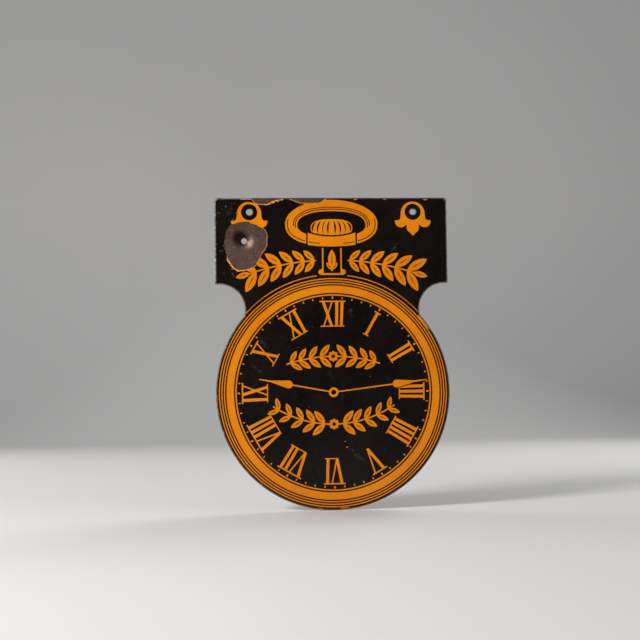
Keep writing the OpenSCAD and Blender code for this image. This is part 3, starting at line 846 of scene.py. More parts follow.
@dataclass(frozen=True)
class OrangeEnamel(Finish):
    """Glossy orange glass with a fine grain, faint crazing and iron specks.

    Its rim is dirty low on the case, and its torn lips carry a pale painted highlight below the
    shot's patch and under the chips of the top edge. Radii are in millimetres, other spans in metres.
    """

    name: str = "orange_enamel_worn"
    rough: float = 0.2
    shine: float = 0.24
    dirty_r: Span = (110.4, RIM)
    dirty_z: Span = (-0.086, -0.076)
    # Bounds of the painted highlight on the torn lips of the shot's patch and of the chips.
    torn_r: Span = (30.4, 31.4)
    torn_x: Span = (-0.082, -0.077)
    torn_z: Span = (-0.046, -0.042)
    chip_x: Span = (-0.036, -0.031)
    chip_z: Span = (0.0064, 0.0074)
    bell_r: Span = (BELL_R, 12.5)

    def paint(self, g: Graph, where: Sock) -> dict[str, Any]:
        """Orange that varies in clouds and streaks, with stains, dirt, crazing, specks and a painted
        highlight on torn lips.

        Args:
            g: The material's graph.
            where: Place on the object.

        Returns:
            The shader's inputs by name, each with what feeds it.
        """
        x, z = where.part("X"), where.part("Z")
        clouds = g.grain(where, 18.0).rise(0.35, 0.65)
        fine = g.grain(where, 480.0, 4.0, 0.65)
        stain = g.grain(where * (1.0, 1.0, 0.6), 60.0, 6.0, 0.7).rise(0.57, 0.76)
        rim = g.away(where, 0.0, 0.0).rise(*self.dirty_r) * z.fall(*self.dirty_z)
        cells = g.add("ShaderNodeTexVoronoi", {"feature": "DISTANCE_TO_EDGE"},
                      {"Vector": where, "Scale": 240.0})
        craze = cells.fall(0.0, 0.035) * g.grain(where, 40.0).rise(0.48, 0.66)
        # Painted highlight: a pale tone along the torn lips below the shot's patch and under the chips.
        patch = g.away(where, *SHOT).fall(*self.torn_r) * x.fall(*self.torn_x) * z.fall(*self.torn_z)
        chips = z.rise(*self.chip_z) * g.away(where, -HOLE_X, BELL_Z).rise(*self.bell_r)
        torn = patch.most(chips * x.fall(*self.chip_x)) * g.grain(where, 420.0).rise(0.36, 0.6)
        specks = g.grain(where, 900.0, 1.0).rise(0.74, 0.79)
        colour = g.layers(clouds.blend((0.70, 0.196, 0.0012), (0.79, 0.240, 0.0026)),
                          (fine.rise(0.3, 0.75), 0.22, (0.60, 0.150, 0.0012)),
                          (stain, 0.34, (0.42, 0.105, 0.006)),
                          (rim * g.grain(where, 45.0).rise(0.36, 0.6), 0.5, (0.26, 0.075, 0.012)),
                          (craze, 0.16, (0.33, 0.07, 0.004)),
                          (torn, 0.55, (0.84, 0.46, 0.12)),
                          (specks, 0.7, (0.16, 0.05, 0.012)))
        rough = self.rough + fine * 0.12 + stain * 0.18
        skin = g.grain(where, 380.0, 2.0) + specks * 0.4 - craze * 0.3
        return {"Base Color": colour, "Roughness": rough, "Normal": g.bump(skin, 0.12, 0.0002)}


@dataclass(frozen=True)
class GroundEnamel(Finish):
    """Grey ground glass of the rim, pale on the left from rubbing and a painted highlight, with painted
    glints, and rusted where it broke.
    """

    name: str = "ground_enamel_worn"
    rough: float = 0.38
    shine: float = 0.4

    def paint(self, g: Graph, where: Sock) -> dict[str, Any]:
        """Grey that pales with rubbing and painted highlight, with painted glints, and browns by the
        amount of rust on each point.

        Args:
            g: The material's graph.
            where: Place on the object.

        Returns:
            The shader's inputs by name, each with what feeds it.
        """
        rust, pale = (g.add("ShaderNodeAttribute", {"attribute_name": name}, {}, "Fac")
                      for name in ("rust", "pale"))
        blots = g.grain(where, 260.0, 4.0, 0.65)
        fine = g.grain(where, 900.0, 3.0)
        grey = blots.rise(0.36, 0.66).blend((0.032, 0.030, 0.029), (0.085, 0.081, 0.079))
        rub_highlight_tone = fine.rise(0.3, 0.7).blend((0.21, 0.22, 0.23), (0.33, 0.35, 0.37))
        # Pale tone where the rim is rubbed and where it has a painted highlight, strongest on the left.
        colour = (pale * (0.45 + blots.rise(0.4, 0.62) * 0.8)).least(1.0).blend(grey, rub_highlight_tone)
        # Painted glints: pale blue sparks along the painted highlight of the edges.
        glint = g.grain(where, 330.0, 2.0).rise(0.6, 0.66) * pale.rise(0.5, 0.8)
        colour = g.layers(colour, (glint, 0.8, (0.60, 0.67, 0.72)))
        worn = (rust + (blots - 0.5) * 0.8 * rust.rise(0.1, 0.4)).most(0.0).least(1.0)
        colour = worn.blend(colour, (0.95, 0.33, 0.09), "MULTIPLY")
        rough = self.rough + worn * 0.3 + fine * 0.1
        bump = g.bump(blots * 0.6 + fine * 0.4, 0.3, 0.0003)
        return {"Base Color": colour, "Roughness": rough, "Normal": bump}


@dataclass(frozen=True)
class BareSteel(Finish):
    """Sheet steel with a dark brown rust skin, mottled and finely pitted.

    A dark stain lies beside the shot, partly rust and partly painted shade on the dent's upper
    left, and a painted highlight as a bright crescent on the dent's lower right. Both
    have their sizes in millimetres.
    """

    name: str = "rusted_steel"
    rough: float = 0.36
    shine: float = 0.35
    # Middle of the dark stain, partly rust and partly painted shade of the dent's upper-left wall.
    stain: Point = (-89.3, 151.3)
    # Radius, width, way and tips of the painted highlight crescent on the dent's lower right.
    stain_r: Span = (3.5, 10.5)
    painted_highlight_r: float = 5.4
    painted_highlight_w: Span = (5.2, 0.6)
    painted_highlight_way: Point = (0.74, 0.67)
    painted_highlight_tip: Span = (-0.5, 5.5)
    low_z: Span = (-0.008, -0.046)

    def paint(self, g: Graph, where: Sock) -> dict[str, Any]:
        """Brown-grey in three tones with dark pits, pale salt spots, a stain with painted shade by the
        shot and a painted highlight in the dent.

        Args:
            g: The material's graph.
            where: Place on the object.

        Returns:
            The shader's inputs by name, each with what feeds it.
        """
        broad = g.grain(where, 70.0, 4.0, 0.6).rise(0.36, 0.66)
        mottle = g.grain(where, 330.0, 6.0, 0.72)
        fine = g.grain(where, 1300.0, 3.0)
        pits = mottle.rise(0.56, 0.7)
        speck = g.grain(where, 900.0, 2.0)
        # Dark stain up and left of the shot: partly rust, partly painted shade where the dent's wall
        # faces away from the light.
        stain_and_shade = (g.away(where, *self.stain) + (mottle - 0.5) * 4.0).fall(*self.stain_r)
        # Painted highlight: a bright crescent on the dent's lower-right wall, which faces the light.
        across = where.part("X") / MM - SHOT[0]
        above = where.part("Z") / MM - (SHOT[1] - ROW_Z)
        ring = abs(g.away(where, *SHOT) + (mottle - 0.5) * 3.0 - self.painted_highlight_r)
        along, down = self.painted_highlight_way
        painted_highlight = ring.rise(*self.painted_highlight_w) * (across * along - above * down).rise(*self.painted_highlight_tip)
        colour = g.layers(broad.blend((0.058, 0.026, 0.016), (0.098, 0.052, 0.036)),
                          (where.part("Z").rise(*self.low_z), 0.3, (0.17, 0.10, 0.072)),
                          (fine.rise(0.42, 0.62), 0.6, (0.165, 0.10, 0.078)),
                          (painted_highlight, 0.6, (0.27, 0.165, 0.115)),
                          (speck.fall(0.32, 0.43), 0.5, (0.020, 0.009, 0.006)),
                          (pits, 0.7, (0.026, 0.011, 0.008)),
                          (speck.rise(0.57, 0.68), 0.34, (0.36, 0.25, 0.22)),
                          (stain_and_shade, 0.9, (0.010, 0.0035, 0.002)))
        bump = g.bump(mottle * 0.7 - pits * 0.4 + fine * 0.4, 0.5, 0.0004)
        return {"Base Color": colour, "Roughness": self.rough + mottle * 0.2, "Normal": bump,
                "Metallic": 0.5 + stain_and_shade * 0.4}


@dataclass(frozen=True)
class Studio(Finish):
    """Matt pale paper of the floor and the sweep behind it."""

    name: str = "pale_paper"
    rough: float = 0.9
    shine: float = 0.2
    tone: Tone = (0.73, 0.72, 0.71)
    fleck: float = 0.97

    def paint(self, g: Graph, where: Sock) -> dict[str, Any]:
        """One pale tone with a trace of paper grain."""
        shade = tuple(self.fleck * c for c in self.tone)
        return {"Base Color": g.grain(where, 300.0, 3.0).blend(shade, self.tone),
                "Roughness": self.rough}


def between(knots: Knots, x: float) -> float:
    """Value at x on the line through knots, and nothing outside them.

    Args:
        knots: Places with their values, in order.
        x: Where the value is read.

    Returns:
        The value.
    """
    for (x0, y0), (x1, y1) in zip(knots, knots[1:]):
        if x0 <= x <= x1:
            return y0 + (y1 - y0) * (x - x0) / (x1 - x0)
    return 0.0


@dataclass(frozen=True)
class Spall:
    """Patch round the shot from which the enamel has sprung, on one face.

    Its edge has a mean radius and shares of it at even angles. The lips of orange, the bare
    band of ground coat and the ruggedness go by angle.
    """

    face: Face
    mean: float
    shares: tuple[float, ...]
    lips: Knots
    bare: Knots
    seed: float
    rugged: Knots = ((0, 0.34), (205, 0.34), (226, 0.6), (330, 0.6), (350, 0.34), (360, 0.34))
    cad_step: float = 1.6

    @property
    def middle(self) -> Point:
        """Place of the shot in the face's drawing."""
        return (self.face.value * SHOT[0], SHOT[1])

    def edge(self, angle: float) -> float:
        """Radius of the CAD's broken edge at an angle in degrees, before its step.

        Args:
            angle: Degrees from the drawing's right.

        Returns:
            Millimetres from the shot.
        """
        n = len(self.shares)
        pitch = 360 / n
        k = int(angle // pitch) % n
        a, b = self.mean * self.shares[k], self.mean * self.shares[(k + 1) % n]
        t = math.radians(angle % pitch)
        whole = math.radians(pitch)
        return a * b * math.sin(whole) / (a * math.sin(t) + b * math.sin(whole - t))

    def radius(self, coat: Coat, angle: float) -> float:
        """Radius of a coat's broken edge at an angle.

        Args:
            coat: The coat.
            angle: Degrees from the drawing's right.

        Returns:
            Millimetres from the shot's middle.
        """
        c, s = (20 * v for v in ray(angle))
        even = sum(self.edge((angle + d) % 360) for d in (-5, 0, 5)) / 3
        rugged = between(self.rugged, angle)
        r = even + 0.7 * ripple(c, s, 3.4, self.seed) + rugged * ripple(c, s, 1.1, self.seed + 1)
        if coat > Coat.GROUND:
            r += 0.24 + between(self.bare, angle) + 0.12 * ripple(c, s, 1.6, self.seed + 2)
        if coat > Coat.ORANGE:
            lip = between(self.lips, angle)
            r += 0.04 + lip * (1 + 0.6 * ripple(c, s, 1.5, self.seed + 3))
            r += 0.35 * min(lip, 1.0) * (1 + ripple(c, s, 0.8, self.seed + 4))
        return r

    def loop(self, coat: Coat, count: int = 300) -> Loop:
        """Broken edge of a coat, counterclockwise.

        Args:
            coat: The coat.
            count: How many points it gets.

        Returns:
            A loop in the face's drawing.
        """
        x, y = self.middle
        made = []
        for i in range(count):
            angle = 360 * i / count
            r = self.radius(coat, angle)
            c, s = ray(angle)
            made.append((x + r * c, y + r * s))
        return made


@dataclass(frozen=True)
class Chip:
    """Chip in the top edge: how deep each coat is gone along it."""

    ground: Knots
    orange: Knots
    black: Knots
    seed: float
    pitch: float = 0.45

    def loop(self, coat: Coat, top: float, least: float = 0.0) -> Loop:
        """Outline of what a coat has lost.

        Args:
            coat: The coat.
            top: Height at which the outline is closed.
            least: Least depth below the edge that the lower side keeps.

        Returns:
            A counterclockwise loop, or nothing where the coat is whole.
        """
        knots = (self.ground, self.orange, self.black)[coat]
        if not knots:
            return []
        x0, x1 = knots[0][0], knots[-1][0]
        steps = max(8, int((x1 - x0) / self.pitch))
        low: Loop = []
        for i in range(steps + 1):
            x = x0 + (x1 - x0) * i / steps
            deep = between(knots, x) + 0.34 * ripple(x, 0, 1.9, self.seed)
            deep += 0.34 * ripple(x, 3, 0.9, self.seed + coat) + 0.1 * coat
            low.append((x + 0.25 * ripple(x, 9, 1.3, self.seed), TOP_Z - max(deep, least)))
        high = [(x, top + 0.12 * ripple(x, 5, 1.5, self.seed)) for x, _ in reversed(low[1:-1])]
        return low + high


@dataclass(frozen=True)
class Wear:
    """All the damage of one face.

    The CAD's chips have their middle, width and depth, the rubs their place, half length, half
    width and lean in degrees, and the pricks their place and radius.
    """

    face: Face
    spall: Spall
    chips: tuple[Chip, ...]
    cad_chips: tuple[Place, ...]
    rubs: tuple[tuple[float, float, float, float, float], ...]
    pricks: tuple[Place, ...]
    clear: float = 0.4
    plain_x: float = 102.0
    bell_w: float = 8.0

    def chip_loops(self, coat: Coat) -> list[Loop]:
        """Outlines of what the chips took from a coat.

        Args:
            coat: The coat.

        Returns:
            Counterclockwise loops in the face's drawing.
        """
        span = (TOP_Z - 0.55, 0.95) if coat is Coat.GROUND else (TOP_Z + 2,)
        loops = [chip.loop(coat, *span) for chip in self.chips]
        return [loop for loop in loops if loop]

    def rub_loops(self) -> list[Loop]:
        """Outlines of the places where the black is rubbed off the orange.

        Returns:
            Counterclockwise loops in the face's drawing.
        """
        made = []
        for x, y, along, across, lean in self.rubs:
            c, s = ray(lean)
            loop = []
            for u, v in ring_loop(0, 0, 1, 44):
                r = 1 + 0.3 * ripple(u * 2 + x, v * 2 + y, 0.9, 3) + 0.2 * ripple(u * 5, v * 5 + y, 1, 8)
                p, q = u * along * r, v * across * r
                loop.append((x + c * p - s * q, y + s * p + c * q))
            made.append(loop)
        return made

    def probe(self, places: np.ndarray) -> np.ndarray:
        """Moves places inside the CAD's broken edges to just outside them.

        Args:
            places: Places in the face's drawing, one to a row.

        Returns:
            The places where the whole coat is to be read for them. A place beside a bell
            flower is read in the plain black near the panel's side.
        """
        out = places.copy()
        cx, cy = self.spall.middle
        step = self.spall.cad_step
        for k, (x, y) in enumerate(places):
            d = math.hypot(x - cx, y - cy)
            if d < 1.5 * self.spall.mean:
                angle = math.degrees(math.atan2(y - cy, x - cx)) % 360
                limit = self.spall.edge(angle) + step + self.clear
                if 0 < d < limit:
                    out[k] = (cx + (x - cx) * limit / d, cy + (y - cy) * limit / d)
            for mid, wide, deep in self.cad_chips:
                bend = (wide * wide / 4 + deep * deep) / (2 * deep)
                high, r = TOP_Z - deep + bend, bend + step + self.clear
                if math.hypot(x - mid, y - high) >= r:
                    continue
                if BELL_R < math.hypot(abs(x) - HOLE_X, y - BELL_Z) < BELL_R + self.bell_w:
                    out[k] = (math.copysign(self.plain_x, x), y)
                else:
                    out[k] = (x, high - math.sqrt(r * r - (x - mid) ** 2))
        return out


FRONT_WEAR = Wear(
    Face.FRONT,
    Spall(Face.FRONT, 22.0, (1, 1.03, 1.05, 0.89, 0.85, 0.85, 0.85, 0.84, 0.85, 0.95, 0.9, 0.86,
                             0.88, 0.91, 0.95, 1.02, 1.18, 1.34, 1.27, 1.25, 1.14, 0.98, 0.94, 1.03),
          ((0, 0.06), (50, 0.0), (205, 0.0), (219, 0.2), (229, 1.2), (233, 1.9), (240, 1.3),
           (264, 1.1), (277, 0.8), (288, 0.4), (330, 0.3), (345, 0.06), (360, 0.06)),
          ((0, 0.35), (28, 0.3), (45, 0.0), (325, 0.0), (340, 0.35), (360, 0.35)), 1.0),
    (Chip(((-79, 0.9), (-76.6, 1.7), (-75, 3.7), (-73, 5.0), (-66, 5.6), (-62.4, 5.6), (-60.8, 4.1),
           (-59.2, 3.7), (-58, 1.8), (-55.6, 1.9), (-54, 0.9)),
          ((-90, 0.6), (-86.4, 1.1), (-82, 0.8), (-78, 1.3), (-76.2, 2.6), (-74.6, 4.8), (-72.5, 5.7),
           (-66, 6.1), (-62, 6.2), (-61.2, 4.9), (-59.4, 4.6), (-58.4, 2.7), (-56, 3.1), (-54.6, 1.7),
           (-51.4, 2.0), (-50.2, 0.6)),
          ((-91, 0.9), (-86.6, 1.8), (-82, 1.4), (-78, 1.9), (-76.4, 3.3), (-75, 5.4), (-72.8, 6.4),
           (-66, 6.8), (-62.2, 7.1), (-60.2, 6.6), (-59.4, 5.2), (-57.4, 4.8), (-56.2, 5.1), (-55, 3.1),
           (-52, 3.7), (-50, 2.1), (-48, 2.4), (-46.4, 0.8)), 2.0),
     Chip(((-40, 0.9), (-37, 1.8), (-33, 3.2), (-30, 4.3), (-20, 4.5), (-12, 4.2), (-9, 3.0),
           (-6.5, 1.2)),
          ((-41, 0.6), (-37, 2.3), (-33, 3.8), (-30, 4.8), (-20, 5.0), (-12, 4.7), (-9, 3.5),
           (-6, 0.6)),
          ((-42, 0.8), (-37, 3.0), (-33, 4.4), (-30, 5.4), (-20, 5.5), (-11, 5.3), (-7, 4.2),
           (-4.2, 0.8)), 3.0),
     Chip((), (), ((21.8, 0.8), (23.4, 2.1), (25, 1.9), (26.5, 0.8)), 4.0),
     Chip((), ((51.4, 0.9), (53, 1.7), (54.6, 0.9)), ((51, 1.0), (53, 2.2), (55.2, 1.0)), 5.0),
     Chip((), ((90.2, 0.7), (92, 1.8), (94.4, 1.6), (95.6, 0.7)),
          ((89.8, 0.8), (92, 2.1), (94.6, 1.9), (96.2, 0.8)), 6.0)),
    ((-67, 38, 6.4), (-23, 36, 4.8), (24, 5, 1.9), (53, 4, 1.7), (93, 6, 2)),
    ((89.6, 67.6, 9.0, 1.3, -52), (-86.6, 85.5, 6.0, 0.8, 98), (9.5, -112.6, 5.5, 1.1, 3),
     (-14, -112.5, 3.6, 0.8, -8), (-70.2, -89.0, 2.6, 0.5, -50)),
    ((12.5, -53.5, 0.75), (10.5, -48, 0.5), (-34, 44, 0.4), (36, 15, 0.35), (-24, -14, 0.3)))

BACK_WEAR = Wear(
    Face.BACK,
    Spall(Face.BACK, 25.0, (0.98, 0.9, 1.0, 1.06, 0.9, 0.82, 0.8, 0.84, 0.88, 0.94, 1.0, 0.96,
                            0.9, 0.98, 1.08, 1.12, 1.02, 1.1, 1.24, 1.18, 1.0, 0.92, 1.04, 1.06),
          ((0, 0.2), (40, 0.5), (70, 0.1), (150, 0.1), (190, 0.7), (230, 0.4), (280, 0.9),
           (310, 0.3), (360, 0.2)),
          ((0, 0.0), (120, 0.0), (150, 0.3), (200, 0.3), (230, 0.0), (360, 0.0)), 11.0),
    (Chip(((27, 0.9), (31, 2.6), (36, 3.9), (42, 4.1), (47, 2.4), (49.5, 0.9)),
          ((26, 0.7), (31, 3.1), (36, 4.4), (42, 4.6), (47, 2.9), (50.4, 0.7)),
          ((25, 0.9), (30, 3.5), (36, 5.2), (43, 5.4), (48, 3.4), (51.6, 0.9)), 12.0),
     Chip(((-64, 0.9), (-60, 2.6), (-56, 2.7), (-52, 0.9)),
          ((-65, 0.7), (-60, 3.1), (-56, 3.2), (-51, 0.7)),
          ((-66.4, 0.9), (-60, 4.0), (-55, 4.1), (-49.6, 0.9)), 13.0),
     Chip((), (), ((-10.4, 0.9), (-8, 2.3), (-5.6, 0.9)), 14.0)),
    ((38, 26, 4.6), (-58, 16, 3.2), (-8, 5, 1.9)),
    ((-60, -96.5, 6.0, 1.0, -32), (4, -112.6, 5.0, 0.9, 2), (87.2, 82, 4.5, 0.8, 84),
     (-111.9, 152, 0.5, 3.4, 1), (110.3, -22, 0.5, 3.0, -10)),
    ((-20, 52, 0.6), (38, 17, 0.4), (5, -60, 0.5)))


@dataclass
class Plate:
    """Outline of the sign, read from the ground coat and freed of its facets."""

    facet: float = 1.1
    corner: float = 0.35
    outline: Loop = field(init=False)

    def __post_init__(self) -> None:
        """Reads the outline."""
        loops = node_loops("ground_coat", Face.FRONT, Coat.GROUND.top)
        self.outline = softened(rounded(max(loops, key=area_of), self.facet), self.corner)

    def holes(self, r: float) -> list[Loop]:
        """Both hanging holes at a radius, with their insides on the right."""
        return [ring_loop(s * HOLE_X, ROW_Z, r, 64, True) for s in (-1, 1)]

    def drawn_in(self, face: Face, depth: float, stray: float = 0.0, seed: float = 0.0,
                 blunt: float = 0.0) -> Loop:
        """Outline in a face's drawing, drawn in by a depth that strays along its way.

        Args:
            face: The face.
            depth: Mean depth.
            stray: Most that it strays.
            seed: Seed of its straying.
            blunt: Radius to which both upper corners are cut back.

        Returns:
            A loop with its inside on the left.
        """
        depths = [depth + stray * ripple(x, y, 4.0, seed) + 0.4 * stray * ripple(x, y, 1.3, seed + 1)
                  for x, y in self.outline]
        loop = inset(self.outline, depths)
        cx, cy = max(x for x, _ in loop) - blunt, max(y for _, y in loop) - blunt
        for i, (x, y) in enumerate(loop):
            d = math.hypot(abs(x) - cx, y - cy)
            if abs(x) > cx and y > cy and d > blunt:
                back = cx + (abs(x) - cx) * blunt / d
                loop[i] = (math.copysign(back, x), cy + (y - cy) * blunt / d)
        return loop if face is Face.FRONT else mirrored(loop)


class Half(NamedTuple):
    """Rows of points of one face of the blank, which are joined to the other face's."""

    rim: list[Loop]
    cap: int
    lining: int
    torn: list[int]


@dataclass
class SteelBlank:
    """Sheet steel with two punched holes, and the dent and torn hole of the shot."""

    plate: Plate
    lining: float = 3.02
    edge: float = 0.12
    dent_r: float = 13.0
    dent_d: float = 3.56
    shot_r: float = 2.9
    thinned: float = 0.54
    side_room: float = 27.1
    spokes: int = 192
    rows: int = 44
    pit_depth: float = 0.11
    pit_size: float = 1.1

    def sink(self, r: float) -> Span:
        """How far the front and the back of the sheet lie from its middle at a radius.

        Args:
            r: Millimetres from the shot.

        Returns:
            Both depths, towards the back.
        """
        u = min(max((r - self.shot_r) / (self.dent_r - self.shot_r), 0.0), 1.0)
        deep = self.dent_d * (1 - u) ** 2.2
        return deep - SHEET, deep + SHEET - self.thinned * (1 - u) ** 3

    def reach(self, wear: Wear, angle: float) -> float:
        """Radius of the finely meshed place round the shot, in the front's drawing.

        Args:
            wear: The wear of the face that is meshed.
            angle: Degrees from the drawing's right.

        Returns:
            Millimetres from the shot.
        """
        own = angle if wear.face is Face.FRONT else (180 - angle) % 360
        left = -ray(angle)[0]
        room = self.side_room / left if left > 0.1 else math.inf
        return min(wear.spall.radius(Coat.BLACK, own) + 1.2, room)

    def half(self, solid: Solid, wear: Wear) -> Half:
        """Adds one face of the blank, with its side of the dent.

        Args:
            solid: The mesh in the making.
            wear: The wear of that face.

        Returns:
            The rows of points that are still open.
        """
        side, (cx, cy) = wear.face.value, SHOT
        turns = [360 * i / self.spokes for i in range(self.spokes)]
        rays = [ray(a) for a in turns]
        torn = [self.shot_r + 0.16 * ripple(3 * c, 3 * s, 0.9, 21) for c, s in rays]
        far = [self.reach(wear, a) for a in turns]
        patch = [(cx + r * c, cy + r * s) for r, (c, s) in zip(far, rays)]
        loops = [inset(self.plate.outline, 2 * self.edge), *self.plate.holes(self.lining + self.edge),
                 patch[::-1]]
        cap = solid.points(loops, side * SHEET, Face.FRONT)
        solid.cap(filled(loops), cap, turned=side < 0)
        rim = [inset(loops[0], -self.edge), *self.plate.holes(self.lining)]
        lining = solid.points(rim, side * (SHEET - self.edge), Face.FRONT)
        last = cap + sum(len(loop) for loop in loops) - 1
        lines = [[last - k for k in range(self.spokes)]]
        for j in range(1, self.rows + 1):
            share = (1 - j / self.rows) ** 1.35
            lines.append(list(range(len(solid.verts), len(solid.verts) + self.spokes)))
            for k, (c, s) in enumerate(rays):
                r = torn[k] + (far[k] - torn[k]) * share
                depth = self.sink(r)[0 if side > 0 else 1]
                solid.verts.append(Face.FRONT.place((cx + r * c, cy + r * s), -depth))
        for wide, tight in zip(lines, lines[1:]):
            for k in range(self.spokes):
                m = (k + 1) % self.spokes
                quad = (wide[k], wide[m], tight[m], tight[k])
                solid.faces.append(quad if side > 0 else quad[::-1])
                solid.smooth.append(True)
        return Half(rim, cap, lining, lines[-1])

    def bareness(self, spot: Vector) -> float:
        """How bare the steel is at a place in the sign's frame, from 0 to 1.

        Args:
            spot: The place.

        Returns:
            0 under the glass, and 1 well inside its edge.
        """
        x, y = spot.x / MM - SHOT[0], spot.z / MM + ROW_Z - SHOT[1]
        middle = sum(self.sink(math.hypot(x, y))) / 2
        wear = FRONT_WEAR if spot.y < middle * MM else BACK_WEAR
        angle = math.degrees(math.atan2(y, wear.face.value * x)) % 360
        margin = wear.spall.radius(Coat.GROUND, angle) - math.hypot(x, y)
        return min(max(margin - 0.2, 0.0), 1.0)

    def mesh(self) -> bpy.types.Mesh:
        """The blank with its dent, before it is pitted.

        Returns:
            A closed mesh that keeps how bare each point is.
        """
        solid = Solid()
        front, back = self.half(solid, FRONT_WEAR), self.half(solid, BACK_WEAR)
        chain = (front.cap, front.lining, back.lining, back.cap)
        for high, low in zip(chain, chain[1:]):
            solid.walls(front.rim, low, high)
        for k in range(self.spokes):
            m = (k + 1) % self.spokes
            solid.faces.append((front.torn[k], back.torn[k], back.torn[m], front.torn[m]))
            solid.smooth.append(True)
        made = solid.mesh("steel_blank_rusted")
        noted(made, "bare", [self.bareness(v.co) for v in made.vertices])
        return made

    def build(self, finish: bpy.types.Material) -> None:
        """Makes the blank, pits its bare places and sets it in the sign.

        Args:
            finish: Finish of the steel.
        """
        name = "steel_blank_rusted"
        values = {"Pit Depth": self.pit_depth * MM, "Pit Size": self.pit_size * MM, "Seed": 4.0,
                  "Finish": finish}
        settled(name, PitTree().run(name, self.mesh(), values), finish, "steel_blank")


